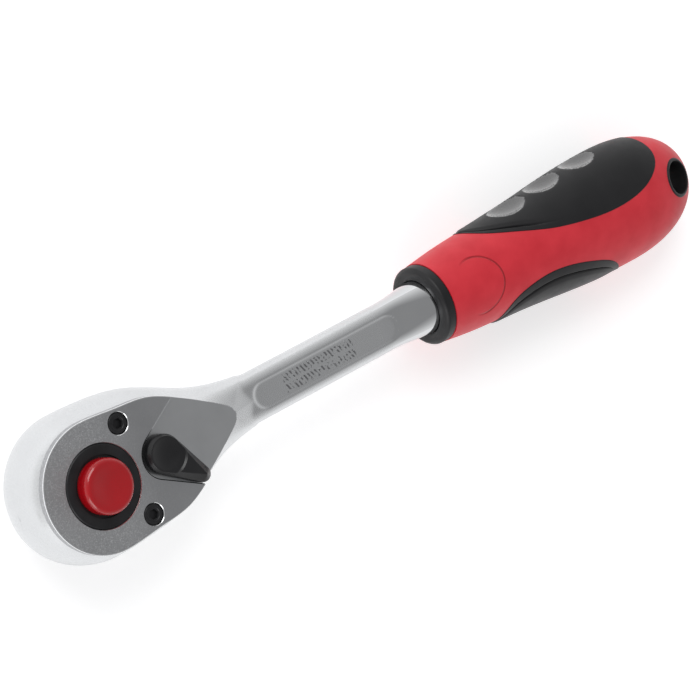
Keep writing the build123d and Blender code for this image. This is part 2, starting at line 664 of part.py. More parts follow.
def pad(outline, skin):
    """Soft pad let into the shell."""
    return skin & pad_prism(outline)


def scallops():
    """Three shallow finger hollows along the upper pad."""
    cuts = []
    for x, half_width in [on_grip(point) for point in HOLLOWS]:
        y = half_width + SCALLOP_RADIUS - SCALLOP_DEPTH
        cuts.append(disc(SCALLOP_RADIUS, AXIS - FAR / 2, AXIS + FAR / 2, x, y))
    return cuts


def front_collar():
    """Black ring at the front of the handle."""
    blank = extrude(across(COLLAR_START) * Circle(COLLAR_RADIUS), COLLAR_LENGTH)
    blank = chamfer(blank.edges().group_by(Axis.X)[0], COLLAR_CHAMFER)
    return blank - extrude(across(COLLAR_START) * Circle(FLARE_RADIUS), COLLAR_LENGTH)


def handle_core():
    """Stiff core moulded on the tang."""
    core = extrude(across(HANDLE_START) * Circle(CORE_RADIUS), CORE_END - HANDLE_START)
    core -= extrude(across(HANDLE_START) * Circle(FLARE_RADIUS), SEAT_LENGTH)
    return core - extrude(across(HANDLE_START) * Circle(TANG_RADIUS), TANG_LENGTH)


def hang_tube():
    """Upright tube through the end of the handle."""
    return ring(HANG_RADIUS + BUSH_WALL, HANG_RADIUS, AXIS - FAR / 2, AXIS + FAR / 2, HANG_X)


def handle_parts():
    """Shell, two pads and the bush of the hanging hole, as a name-to-solid dictionary."""
    outer = handle_solid()
    skin = outer - handle_solid(PAD_DEPTH)
    upper = pad(UPPER_EDGE, skin)
    lower = pad(LOWER_EDGE, skin)
    shell = outer - upper - lower
    shell -= extrude(across(HANDLE_START) * Circle(CORE_RADIUS), CORE_END - HANDLE_START)
    shell -= disc(HANG_RADIUS + BUSH_WALL, AXIS - FAR / 2, AXIS + FAR / 2, HANG_X)
    for cut in scallops():
        upper -= cut
    return {
        "handle_shell": shell,
        "upper_grip_pad": upper,
        "lower_grip_pad": lower,
        "hang_bush": hang_tube() & outer,
    }


def build():
    """All pieces by node name."""
    pieces = {
        "ratchet_body": ratchet_body(),
        "cover_plate": cover_plate(),
        "cover_screws": cover_screws(),
        "thrust_washer": thrust_washer(),
        "drive_seal": drive_seal(),
        "drive_gear": drive_gear(),
        "release_button": release_button(),
        "release_plunger": release_plunger(),
        "release_spring": release_spring(),
        "button_clip": button_clip(),
        "retaining_ball": retaining_ball(),
        "pawl": pawl(),
        "reverse_lever": reverse_lever(),
        "selector_shaft": selector_shaft(),
        "detent_pin": detent_pin(),
        "detent_spring": detent_spring(),
        "lever_seal": lever_seal(),
        "lever_clip": lever_clip(),
        "front_collar": front_collar(),
        "handle_core": handle_core(),
    }
    pieces.update(handle_parts())
    return pieces


os.makedirs("parts", exist_ok=True)
for name, piece in build().items():
    export_step(piece, f"parts/{name}.step")
    print(name, "written")
print("lever to pawl ratio", round(-PAWL_SWING / LEVER_SWING, 4))
print("button to ball ratio", round(BALL_TRAVEL / BUTTON_TRAVEL, 4))
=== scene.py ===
"""Reversible ratchet wrench with a moulded handle, dressed for a plain studio view.

Sizes are in millimetres and are scaled to metres where a mesh is made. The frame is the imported
model's own: +Z leaves the lever side, the drive square points down, +X runs to the handle.
"""
import logging
from dataclasses import dataclass
from enum import Enum
from math import asin, cos, degrees, pi, radians, sin, sqrt
from typing import Callable, Iterable, Optional, Sequence

import bmesh
import bpy
import numpy as np
from mathutils import Matrix, Vector


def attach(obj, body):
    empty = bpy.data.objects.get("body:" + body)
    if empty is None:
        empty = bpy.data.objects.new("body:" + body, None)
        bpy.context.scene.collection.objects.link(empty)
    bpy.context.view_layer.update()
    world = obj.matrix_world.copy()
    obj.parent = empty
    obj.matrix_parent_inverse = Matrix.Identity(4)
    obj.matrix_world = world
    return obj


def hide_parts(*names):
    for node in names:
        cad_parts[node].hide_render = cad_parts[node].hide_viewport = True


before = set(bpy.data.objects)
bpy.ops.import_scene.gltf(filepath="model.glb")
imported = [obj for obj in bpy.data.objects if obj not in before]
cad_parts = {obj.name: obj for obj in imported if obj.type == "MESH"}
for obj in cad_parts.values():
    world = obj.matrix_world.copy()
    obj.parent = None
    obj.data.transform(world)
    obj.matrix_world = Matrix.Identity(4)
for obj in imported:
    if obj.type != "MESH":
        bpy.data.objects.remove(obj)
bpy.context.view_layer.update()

MM = 0.001
LOG = logging.getLogger("wrench")

# Levels shared by the sub-assemblies.
UNDERSIDE = 11.5
FACE = 27.5
DECK = 25.7
FLOOR = 13.8
ROOF = 23.9
AXIS = 20.4
PIVOT_X = 15.8
LEVER_REST = -48.0
COLLAR_START = 94.3
HANDLE_START = 97.1
CAP_START = 155.0
HANDLE_END = 179.0

Point = tuple[float, float]


# --- shape tools ------------------------------------------------------------------------------


def ease(value: np.ndarray, low: float, high: float) -> np.ndarray:
    """Smooth step.

    Args:
        value: Where it is taken.
        low: Value at which it leaves 0.
        high: Value at which it reaches 1.

    Returns:
        The step, from 0 to 1.
    """
    share = np.clip((value - low) / (high - low), 0.0, 1.0)
    return share * share * (3 - 2 * share)


def blend_max(first: np.ndarray, second: np.ndarray, radius: float) -> np.ndarray:
    """Larger of two fields, rounded where they cross.

    Args:
        first: One signed field.
        second: The other signed field.
        radius: Size of the rounding.

    Returns:
        The rounded maximum.
    """
    mix = np.clip(0.5 + 0.5 * (first - second) / radius, 0.0, 1.0)
    return second + (first - second) * mix + radius * mix * (1 - mix)


def blend_min(first: np.ndarray, second: np.ndarray, radius: float) -> np.ndarray:
    """Smaller of two fields, rounded where they cross."""
    return -blend_max(-first, -second, radius)


def through(points: Sequence[Point], start: Point, end: Point, count: int = 400) -> np.ndarray:
    """Smooth cubic curve through points, with set directions at its ends.

    Args:
        points: Points that the curve passes.
        start: Direction at the first point.
        end: Direction at the last point.
        count: Number of points sampled on the curve.

    Returns:
        Array of count rows of x and y.
    """
    given = np.array(points, float)
    chords = np.hypot(*np.diff(given, axis=0).T)
    stops = np.concatenate([[0.0], np.cumsum(chords)])
    size = len(given)
    matrix, right = np.zeros((size, size)), np.zeros((size, 2))
    matrix[0, 0] = matrix[-1, -1] = 1.0
    right[0] = np.array(start) / np.hypot(*start)
    right[-1] = np.array(end) / np.hypot(*end)
    for i in range(1, size - 1):
        before, after = chords[i - 1], chords[i]
        matrix[i, i - 1:i + 2] = after, 2 * (before + after), before
        right[i] = 3 * (before * (given[i + 1] - given[i]) / after
                        + after * (given[i] - given[i - 1]) / before)
    slopes = np.linalg.solve(matrix, right)
    where = np.linspace(0.0, stops[-1], count)
    span = np.clip(np.searchsorted(stops, where, side="right") - 1, 0, size - 2)
    length = chords[span][:, None]
    t = ((where - stops[span])[:, None]) / length
    return ((2 * t ** 3 - 3 * t ** 2 + 1) * given[span]
            + (t ** 3 - 2 * t ** 2 + t) * length * slopes[span]
            + (3 * t ** 2 - 2 * t ** 3) * given[span + 1]
            + (t ** 3 - t ** 2) * length * slopes[span + 1])


def circle(radius: float, count: int, x: float = 0.0, y: float = 0.0) -> list[Point]:
    """Points round a circle, anticlockwise."""
    return [(x + radius * cos(2 * pi * i / count), y + radius * sin(2 * pi * i / count))
            for i in range(count)]


def arc(radius: float, start: float, end: float, count: int) -> list[Point]:
    """Points on an arc about the origin, with its angles in degrees."""
    angles = [radians(start + (end - start) * i / (count - 1)) for i in range(count)]
    return [(radius * cos(a), radius * sin(a)) for a in angles]


def rounded(corner: Point, radius: float, start: float, end: float, count: int = 8) -> list[Point]:
    """Points on a small arc about a corner's centre, with its angles in degrees."""
    return [(corner[0] + x, corner[1] + y) for x, y in arc(radius, start, end, count)]


def body_of_mesh(name: str, points: np.ndarray, faces: Iterable[Sequence[int]]
                 ) -> bpy.types.Object:
    """Make an object from points in millimetres.

    Args:
        name: Name of the object and its mesh.
        points: Array of vertex positions.
        faces: Vertex numbers of each face.

    Returns:
        The linked object, with its faces turned outwards.
    """
    mesh = bpy.data.meshes.new(name)
    mesh.from_pydata((np.asarray(points, float) * MM).tolist(), [], [tuple(f) for f in faces])
    work = bmesh.new()
    work.from_mesh(mesh)
    bmesh.ops.remove_doubles(work, verts=work.verts, dist=1e-7)
    bmesh.ops.recalc_face_normals(work, faces=work.faces)
    work.to_mesh(mesh)
    work.free()
    return link(name, mesh)


def grid_faces(rows: int, columns: int, wrap: bool, offset: int = 0) -> list[tuple[int, ...]]:
    """Quads of a grid of vertices, row by row.

    Args:
        rows: Number of rows of vertices.
        columns: Number of vertices in a row.
        wrap: Whether each row closes on itself.
        offset: Number of the first vertex.

    Returns:
        The quads.
    """
    faces = []
    for i in range(rows - 1):
        for j in range(columns if wrap else columns - 1):
            k = (j + 1) % columns
            faces.append((offset + i * columns + j, offset + i * columns + k,
                          offset + (i + 1) * columns + k, offset + (i + 1) * columns + j))
    return faces


def lathe(name: str, profile: Sequence[Point], count: int = 160, along_x: bool = False,
          x: float = 0.0, y: float = 0.0) -> bpy.types.Object:
    """Turn a profile of (radius, height) points round an upright axis or the shank's axis.

    Args:
        name: Name of the object.
        profile: Points of a closed loop, or of a line that starts and ends on the axis.
        count: Number of steps round the axis.
        along_x: Whether the heights run along the shank instead of up.
        x: Where the upright axis stands.
        y: Where the upright axis stands.

    Returns:
        The turned object.
    """
    on_axis = profile[0][0] == 0.0 and profile[-1][0] == 0.0
    rows = list(profile) if on_axis else list(profile) + [profile[0]]
    angles = np.arange(count) * 2 * pi / count
    points = []
    for radius, height in rows:
        a, b = radius * np.cos(angles), radius * np.sin(angles)
        level = np.full(count, height)
        points.append(np.stack([level, a, b + AXIS] if along_x else [a + x, b + y, level], 1))
    return body_of_mesh(name, np.concatenate(points), grid_faces(len(rows), count, True))


def stack(name: str, rows: Sequence[tuple[Sequence[Point], float]]) -> bpy.types.Object:
    """Closed solid through level outlines that have the same number of points.

    Args:
        name: Name of the object.
        rows: Outlines with their heights, from the bottom up.

    Returns:
        The new object.
    """
    count = len(rows[0][0])
    points = [(x, y, z) for outline, z in rows for x, y in outline]
    faces = grid_faces(len(rows), count, True)
    faces += [tuple(range(count)), tuple(range(len(points) - count, len(points)))]
    return body_of_mesh(name, np.array(points), faces)


def cutter(outline: Sequence[Point], low: float, high: float) -> bpy.types.Object:
    """Cutter that raises a flat outline from one height to another."""
    return stack("cut", [(outline, low), (outline, high)])


def flared_hole(radius: float, low: float, top: float, edge: float, x: float = 0.0,
                y: float = 0.0) -> bpy.types.Object:
    """Cutter for a round hole whose upper rim is chamfered.

    Args:
        radius: Radius of the hole.
        low: Its lower end.
        top: Level of the face that it opens in.
        edge: Width of the chamfer.
        x: Position of its axis.
        y: Position of its axis.

    Returns:
        The cutter.
    """
    sizes = ((radius, low), (radius, top - edge), (radius + 2 * edge, top + edge))
    return stack("cut", [(circle(size, 192, x, y), z) for size, z in sizes])


def link(name: str, data: bpy.types.ID) -> bpy.types.Object:
    """Make an object of a mesh, light or camera and put it in the scene.

    Args:
        name: Name of the object.
        data: Its mesh, light or camera.

    Returns:
        The new object.
    """
    made = bpy.data.objects.new(name, data)
    bpy.context.scene.collection.objects.link(made)
    return made


def discard(used: bpy.types.Object) -> None:
    """Remove an object and its mesh.

    Args:
        used: The object.
    """
    mesh = used.data
    bpy.data.objects.remove(used)
    bpy.data.meshes.remove(mesh)


def apply_modifiers(target: bpy.types.Object) -> None:
    """Turn an object's modifiers into plain mesh.

    Args:
        target: The object.
    """
    shown = target.evaluated_get(bpy.context.evaluated_depsgraph_get())
    result = bpy.data.meshes.new_from_object(shown)
    old = target.data
    target.modifiers.clear()
    target.data = result
    bpy.data.meshes.remove(old)
    result.name = target.name


def cut(target: bpy.types.Object, *cutters: bpy.types.Object) -> None:
    """Cut an object with others, which are then removed.

    Args:
        target: Object that is cut.
        cutters: Closed objects that cut it.
    """
    for used in cutters:
        step = target.modifiers.new("cut", "BOOLEAN")
        step.operation, step.solver, step.object = "DIFFERENCE", "EXACT", used
        apply_modifiers(target)
        discard(used)


def join(name: str, parts: Sequence[bpy.types.Object]) -> bpy.types.Object:
    """Put the meshes of several objects into one object.

    Args:
        name: Name of the joined object.
        parts: The objects, which are then removed.

    Returns:
        The joined object.
    """
    work = bmesh.new()
    for part in parts:
        work.from_mesh(part.data)
        discard(part)
    mesh = bpy.data.meshes.new(name)
    work.to_mesh(mesh)
    work.free()
    return link(name, mesh)


def break_edges(target: bpy.types.Object, width: float, angle: float) -> None:
    """Bevel every edge that turns more than an angle, with two facets.

    Args:
        target: Object to bevel.
        width: Width of the bevel.
        angle: Smallest turn that is bevelled, in degrees.
    """
    step = target.modifiers.new("edges", "BEVEL")
    step.width, step.segments, step.limit_method = width * MM, 2, "ANGLE"
    step.angle_limit, step.use_clamp_overlap = radians(angle), True
    step.miter_outer = "MITER_ARC"
    apply_modifiers(target)


def shade(target: bpy.types.Object, angle: float, weighted: bool = True) -> None:
    """Shade smooth, with sharp edges where faces turn more than an angle.

    Args:
        target: Object to shade.
        angle: Largest smooth turn, in degrees.
        weighted: Whether large flat faces keep their own normals.
    """
    work = bmesh.new()
    work.from_mesh(target.data)
    for face in work.faces:
        face.smooth = True
    for edge in work.edges:
        if len(edge.link_faces) == 2 and edge.calc_face_angle(0.0) > radians(angle):
            edge.smooth = False
    work.to_mesh(target.data)
    work.free()
    if weighted:
        step = target.modifiers.new("normals", "WEIGHTED_NORMAL")
        step.keep_sharp = True
        apply_modifiers(target)


def finish_piece(piece: bpy.types.Object, body: str, slot: str, material: bpy.types.Material,
                 *stands_for: str) -> None:
    """Dress a piece, hang it on its body and report it.

    Args:
        piece: The new piece.
        body: Body that it rides on.
        slot: Name of a material slot; not used.
        material: Its material.
        stands_for: Names of the CAD nodes that it replaces.
    """
    if not piece.data.materials:
        piece.data.materials.append(material)
    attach(piece, body)
    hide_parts(*stands_for)
    LOG.info("%s: %d faces, rides on %s, stands for %s", piece.name, len(piece.data.polygons),
             body, ", ".join(stands_for))


# --- finishes ---------------------------------------------------------------------------------


class Recipe:
    """Node material in the making."""

    def __init__(self, name: str) -> None:
        """Start a material with a principled shader and object coordinates.

        Args:
            name: Name of the material.
        """
        self.material = bpy.data.materials.new(name)
        self.material.use_nodes = True
        self.tree = self.material.node_tree
        self.tree.nodes.clear()
        self.output = self.node("ShaderNodeOutputMaterial")
        self.shader = self.node("ShaderNodeBsdfPrincipled")
        self.join(self.shader, "BSDF", self.output, "Surface")
        self.place = self.node("ShaderNodeTexCoord")

    def node(self, kind: str, **settings: object) -> bpy.types.Node:
        """Add a node.

        Args:
            kind: Type of the node.
            settings: Attributes of the node, or values of its inputs.

        Returns:
            The new node.
        """
        made = self.tree.nodes.new(kind)
        for key, value in settings.items():
            if hasattr(made, key):
                setattr(made, key, value)
            else:
                made.inputs[key.replace("_", " ").title()].default_value = value
        return made

    def join(self, source: bpy.types.Node, out: str | int, target: bpy.types.Node,
             into: str | int) -> None:
        """Link an output to an input."""
        self.tree.links.new(source.outputs[out], target.inputs[into])

    def noise(self, size: float, detail: float = 2.0, rough: float = 0.5) -> bpy.types.Node:
        """Noise pattern.

        Args:
            size: Size of its features in millimetres.
            detail: How many finer layers it has.
            rough: How strong the finer layers are.

        Returns:
            The noise node, whose outputs are Fac and Color.
        """
        made = self.node("ShaderNodeTexNoise", scale=1.0 / (size * MM), detail=detail,
                         roughness=rough)
        self.join(self.place, "Object", made, "Vector")
        return made

    def cells(self, size: float) -> bpy.types.Node:
        """Cellular pattern.

        Args:
            size: Size of its cells in millimetres.

        Returns:
            The pattern's node, whose output is Distance.
        """
        made = self.node("ShaderNodeTexVoronoi", scale=1.0 / (size * MM))
        self.join(self.place, "Object", made, "Vector")
        return made

    def spread(self, source: bpy.types.Node, out: str | int, low: float, high: float,
               start: float = 0.3, stop: float = 0.7) -> bpy.types.Node:
        """Map a pattern to a range of values.

        Args:
            source: Node of the pattern.
            out: Its output.
            low: Value given where the pattern is at start.
            high: Value given where the pattern is at stop.
            start: Pattern value mapped to low.
            stop: Pattern value mapped to high.

        Returns:
            The mapping node, whose output is Result.
        """
        made = self.node("ShaderNodeMapRange")
        for key, value in (("From Min", start), ("From Max", stop), ("To Min", low),
                           ("To Max", high)):
            made.inputs[key].default_value = value
        self.join(source, out, made, "Value")
        return made

    def math(self, operation: str, first: object, second: object = None) -> bpy.types.Node:
        """Math node on nodes or plain numbers.

        Args:
            operation: What it does.
            first: Node or number of its first input.
            second: Node or number of its second input, if it has one.

        Returns:
            The math node.
        """
        made = self.node("ShaderNodeMath", operation=operation)
        for slot, value in enumerate((first, second)):
            if isinstance(value, bpy.types.Node):
                self.tree.links.new(value.outputs[0], made.inputs[slot])
            elif value is not None:
                made.inputs[slot].default_value = float(value)
        return made

    def colours(self, factor: bpy.types.Node, first: Sequence[float], second: Sequence[float]
                ) -> bpy.types.Node:
        """Mix two tones over the surface and give the shader the result.

        Args:
            factor: Node whose first output gives the share of the second tone.
            first: One tone.
            second: The other tone.

        Returns:
            The mixing node, whose output is Color.
        """
        made = self.node("ShaderNodeMixRGB", color1=(*first, 1.0), color2=(*second, 1.0))
        self.join(factor, 0, made, "Fac")
        self.join(made, "Color", self.shader, "Base Color")
        return made

    def mark(self, mask: bpy.types.Node, under: bpy.types.Node, tone: Sequence[float]) -> None:
        """Lay a mark of another tone over the finish.

        Args:
            mask: Node whose first output is 1 on the mark.
            under: Colour node under the mark.
            tone: Colour of the mark.
        """
        made = self.node("ShaderNodeMixRGB", color2=(*tone, 1.0))
        self.join(mask, 0, made, "Fac")
        self.join(under, "Color", made, "Color1")
        self.join(made, "Color", self.shader, "Base Color")

    def axes(self) -> bpy.types.Node:
        """Split the object coordinates.

        Returns:
            Node that gives x, y and z in metres.
        """
        made = self.node("ShaderNodeSeparateXYZ")
        self.join(self.place, "Object", made, 0)
        return made

    def axis(self, where: bpy.types.Node, name: str) -> bpy.types.Node:
        """One coordinate in millimetres.

        Args:
            where: Node that gives x, y and z.
            name: X, Y or Z.

        Returns:
            Node whose first output is the coordinate.
        """
        made = self.node("ShaderNodeMath", operation="MULTIPLY")
        self.join(where, name, made, 0)
        made.inputs[1].default_value = 1.0 / MM
        return made

    def bump(self, height: bpy.types.Node, out: str | int, depth: float, strength: float = 1.0,
             below: Optional[bpy.types.Node] = None) -> bpy.types.Node:
        """Give the shader a bump, stacked on another if one is given.

        Args:
            height: Node whose output gives the height.
            out: That output.
            depth: Height of the relief in millimetres.
            strength: Strength of the bump node.
            below: Bump that this one is laid on.

        Returns:
            The bump node.
        """
        made = self.node("ShaderNodeBump", strength=strength, distance=depth * MM)
        self.join(height, out, made, "Height")
        if below is not None:
            self.join(below, "Normal", made, "Normal")
        self.join(made, "Normal", self.shader, "Normal")
        return made


@dataclass(frozen=True)
class Metal:
    """Steel finish: blasted, satin or polished.

    Fields are its name, two tones, the roughness from and to, the size and depth of the grain and
    the size of the tones' patches, all in millimetres, and how metallic it is.
    """

    name: str
    dark: Sequence[float]
    light: Sequence[float]
    rough: Point
    grain: float = 0.25
    depth: float = 0.004
    tone: float = 4.0
    metallic: float = 1.0

    def start(self) -> tuple[Recipe, bpy.types.Node, bpy.types.Node]:
        """Lay the shared nodes.

        Returns:
            The recipe, its colour node and its bump node.
        """
        made = Recipe(self.name)
        tone = made.spread(made.noise(self.tone, 4.0), "Fac", 0.0, 1.0)
        colour = made.colours(tone, self.dark, self.light)
        grain = made.noise(self.grain, 3.0, 0.6)
        rough = made.spread(grain, "Fac", self.rough[0], self.rough[1])
        made.join(rough, "Result", made.shader, "Roughness")
        relief = made.bump(grain, "Fac", self.depth)
        made.shader.inputs["Metallic"].default_value = self.metallic
        return made, colour, relief

    def make(self) -> bpy.types.Material:
        """Plain form of the finish."""
        return self.start()[0].material


@dataclass(frozen=True)
class ForgedChrome(Metal):
    """Satin chrome of the forging, polished on the flare, with an etched panel on the shank.

    Fields are where the polish starts and is full, the share of the roughness that it leaves, the
    panel's ends and half width, and the strokes' pitch, slant, tone and height.
    """

    polish_from: float = 80.0
    polish_to: float = 86.0
    polish: float = 0.16
    panel_from: float = 52.0
    panel_to: float = 72.0
    panel_half: float = 2.1
    pitch: float = 1.0
    slant: float = 0.45
    etched: Sequence[float] = (0.26, 0.26, 0.27)
    height: float = 0.3

    def make(self) -> bpy.types.Material:
        """Add the polished flare and the etched panel to the plain metal.

        Returns:
            The material.
        """
        made, colour, relief = self.start()
        where = made.axes()
        polish = made.spread(where, "X", 1.0, self.polish, self.polish_from * MM,
                             self.polish_to * MM)
        rough = made.shader.inputs["Roughness"].links[0].from_node
        made.join(made.math("MULTIPLY", rough, polish), 0, made.shader, "Roughness")
        panel = self.panel_mask(made, where)
        made.mark(panel, colour, self.etched)
        made.bump(panel, 0, self.height, below=relief)
        return made.material

    def panel_mask(self, made: Recipe, where: bpy.types.Node) -> bpy.types.Node:
        """Mask of two rows of slanted strokes inside the panel.

        Args:
            made: The recipe that gets the nodes.
            where: Node that gives x, y and z.

        Returns:
            Node whose first output is 1 on a stroke.
        """
        x, y = made.axis(where, "X"), made.axis(where, "Y")
        slant = made.math("ADD", x, made.math("MULTIPLY", y, self.slant))
        wave = made.math("SINE", made.math("MULTIPLY", slant, 2 * pi / self.pitch))
        strokes = made.math("GREATER_THAN", wave, 0.15)
        broken = made.math("GREATER_THAN", made.noise(0.7, 1.0), 0.46)
        rows = made.math("GREATER_THAN", made.math("ABSOLUTE", y), 0.28)
        mask = made.math("MULTIPLY", made.math("MULTIPLY", strokes, broken), rows)
        half = self.panel_half
        for value, low, high in ((x, self.panel_from, self.panel_to), (y, -half, half)):
            mask = made.math("MULTIPLY", mask, made.math("GREATER_THAN", value, low))
            mask = made.math("MULTIPLY", mask, made.math("LESS_THAN", value, high))
        above = made.math("GREATER_THAN", made.axis(where, "Z"), AXIS + 2.0)
        return made.math("MULTIPLY", mask, above)


@dataclass(frozen=True)
class BlastedFace(Metal):
    """Bead-blasted cover face, coarser at its front and smoother towards the lever's pocket.

    Fields are the size and tone of the specks, the size and depth of the pits, and where the
    coarse part ends.
    """

    speckle: float = 0.3
    bright: Sequence[float] = (0.56, 0.57, 0.58)
    pit: float = 0.4
    pit_depth: float = 0.14
    coarse_from: float = 2.0
    coarse_to: float = 13.0

    def make(self) -> bpy.types.Material:
        """Add pale specks and a second, coarser relief to the plain metal.

        Returns:
            The material.
        """
        made, colour, relief = self.start()
        front = made.spread(made.axes(), "X", 1.0, 0.15, self.coarse_from * MM,
                            self.coarse_to * MM)
        specks = made.spread(made.noise(self.speckle, 2.0, 0.7), "Fac", 0.0, 1.0, 0.5, 0.7)
        made.mark(made.math("MULTIPLY", specks, front), colour, self.bright)
        pits = made.math("MULTIPLY", made.noise(self.pit, 3.0, 0.7), front)
        made.bump(pits, 0, self.pit_depth, below=relief)
        return made.material


@dataclass(frozen=True)
class Moulded:
    """Moulded plastic or rubber with a fine spark-eroded texture.

    Fields are its name, two tones, the roughness from and to, the size and depth of the texture
    in millimetres, its gloss and its clear coat.
    """

    name: str
    dark: Sequence[float]
    light: Sequence[float]
    rough: Point
    grain: float = 0.2
    depth: float = 0.012
    specular: float = 0.5
    coat: float = 0.0

    def start(self) -> tuple[Recipe, bpy.types.Node, bpy.types.Node]:
        """Lay the shared nodes.

        Returns:
            The recipe, its colour node and its bump node.
        """
        made = Recipe(self.name)
        tone = made.spread(made.noise(6.0, 3.0), "Fac", 0.0, 1.0)
        colour = made.colours(tone, self.dark, self.light)
        grain = made.cells(self.grain)
        rough = made.spread(made.noise(2.5, 4.0), "Fac", self.rough[0], self.rough[1])
        made.join(rough, "Result", made.shader, "Roughness")
        relief = made.bump(grain, "Distance", self.depth, 0.6)
        made.shader.inputs["Specular IOR Level"].default_value = self.specular
        made.shader.inputs["Coat Weight"].default_value = self.coat
        made.shader.inputs["Coat Roughness"].default_value = 0.08
        return made, colour, relief

    def make(self) -> bpy.types.Material:
        """Plain form of the finish."""
        return self.start()[0].material


@dataclass(frozen=True)
class MarkedShell(Moulded):
    """Moulded shell with a round line on its top near the collar.

    Fields are the centre and radius of the line, its width, tone and height.
    """

    centre: Point = (105.7, 0.0)
    radius: float = 6.5
    width: float = 0.28
    line: Sequence[float] = (0.30, 0.006, 0.012)
    height: float = -0.12

    def make(self) -> bpy.types.Material:
        """Add the round line to the plain plastic.

        Returns:
            The material.
        """
        made, colour, relief = self.start()
        where = made.axes()
        across = [made.math("SUBTRACT", made.axis(where, name), value)
                  for name, value in zip("XY", self.centre)]
        squares = [made.math("MULTIPLY", value, value) for value in across]
        away = made.math("SQRT", made.math("ADD", squares[0], squares[1]))
        off = made.math("ABSOLUTE", made.math("SUBTRACT", away, self.radius))
        line = made.spread(off, 0, 1.0, 0.0, 0.4 * self.width, self.width)
        top = made.math("GREATER_THAN", made.axis(where, "Z"), AXIS)
        front = made.spread(across[0], 0, 0.0, 1.0, -3.0, 0.5)
        mask = made.math("MULTIPLY", made.math("MULTIPLY", line, top), front)
        made.mark(mask, colour, self.line)
        made.bump(mask, 0, self.height, below=relief)
        return made.material


class Finish(Enum):
    """Finishes of the wrench."""

    FORGED_CHROME = ForgedChrome("forged_chrome", (0.61, 0.62, 0.63), (0.64, 0.65, 0.66),
                                 (0.26, 0.29), 0.18, 0.0004, tone=12.0)
    BLASTED_STEEL = BlastedFace("blasted_steel", (0.36, 0.365, 0.375), (0.40, 0.405, 0.415),
                                (0.36, 0.46), 0.16, 0.006, tone=9.0)
    SATIN_DECK = Metal("satin_deck", (0.50, 0.51, 0.52), (0.53, 0.54, 0.55), (0.32, 0.36), 0.16,
                       0.0015)
    BRIGHT_EDGE = Metal("bright_edge", (0.78, 0.79, 0.8), (0.86, 0.87, 0.88), (0.14, 0.22))
    BLACK_OXIDE = Metal("black_oxide", (0.012, 0.012, 0.013), (0.022, 0.022, 0.024), (0.34, 0.46),
                        0.2, 0.003, metallic=0.5)
    SPRING_STEEL = Metal("spring_steel", (0.34, 0.34, 0.36), (0.5, 0.5, 0.52), (0.2, 0.34))
    SEAL_RUBBER = Moulded("seal_rubber", (0.012, 0.012, 0.013), (0.022, 0.022, 0.023),
                          (0.5, 0.65), specular=0.35)
    RED_BUTTON = Moulded("red_button", (0.30, 0.002, 0.005), (0.34, 0.003, 0.007), (0.18, 0.22),
                         0.5, 0.001, 0.5, coat=0.2)
    BLACK_LEVER = Moulded("black_lever", (0.007, 0.007, 0.008), (0.012, 0.012, 0.013),
                          (0.26, 0.36), 0.3, 0.004, 0.4)
    BLACK_CORE = Moulded("black_core", (0.007, 0.007, 0.008), (0.012, 0.012, 0.013), (0.4, 0.5),
                         specular=0.3)
    RED_SHELL = MarkedShell("red_shell", (0.52, 0.018, 0.030), (0.60, 0.028, 0.042),
                            (0.42, 0.5), 0.22, 0.008, 0.35)
    GRIP_RUBBER = Moulded("grip_rubber", (0.006, 0.006, 0.007), (0.009, 0.009, 0.01),
                          (0.42, 0.5), 0.2, 0.010, 0.32)
    # Finger hollows: the same rubber made glossier, and given a lighter base tone that is a painted
    # sheen for their bright reflections.
    GRIP_GLOSS_PAINTED_SHEEN = Moulded("grip_gloss_painted_sheen", (0.025, 0.025, 0.026), (0.035, 0.035, 0.036),
                         (0.24, 0.3), 0.3, 0.001, 1.0, coat=0.8)


class Wardrobe:
    """Materials made once each and handed out by finish."""

    def __init__(self) -> None:
        """Start with nothing made."""
        self.made: dict[Finish, bpy.types.Material] = {}

    def get(self, finish: Finish) -> bpy.types.Material:
        """Material of a finish, made the first time it is asked for.

        Args:
            finish: The finish.

        Returns:
            Its material.
        """
        if finish not in self.made:
            self.made[finish] = finish.value.make()
        return self.made[finish]


# --- forging ----------------------------------------------------------------------------------


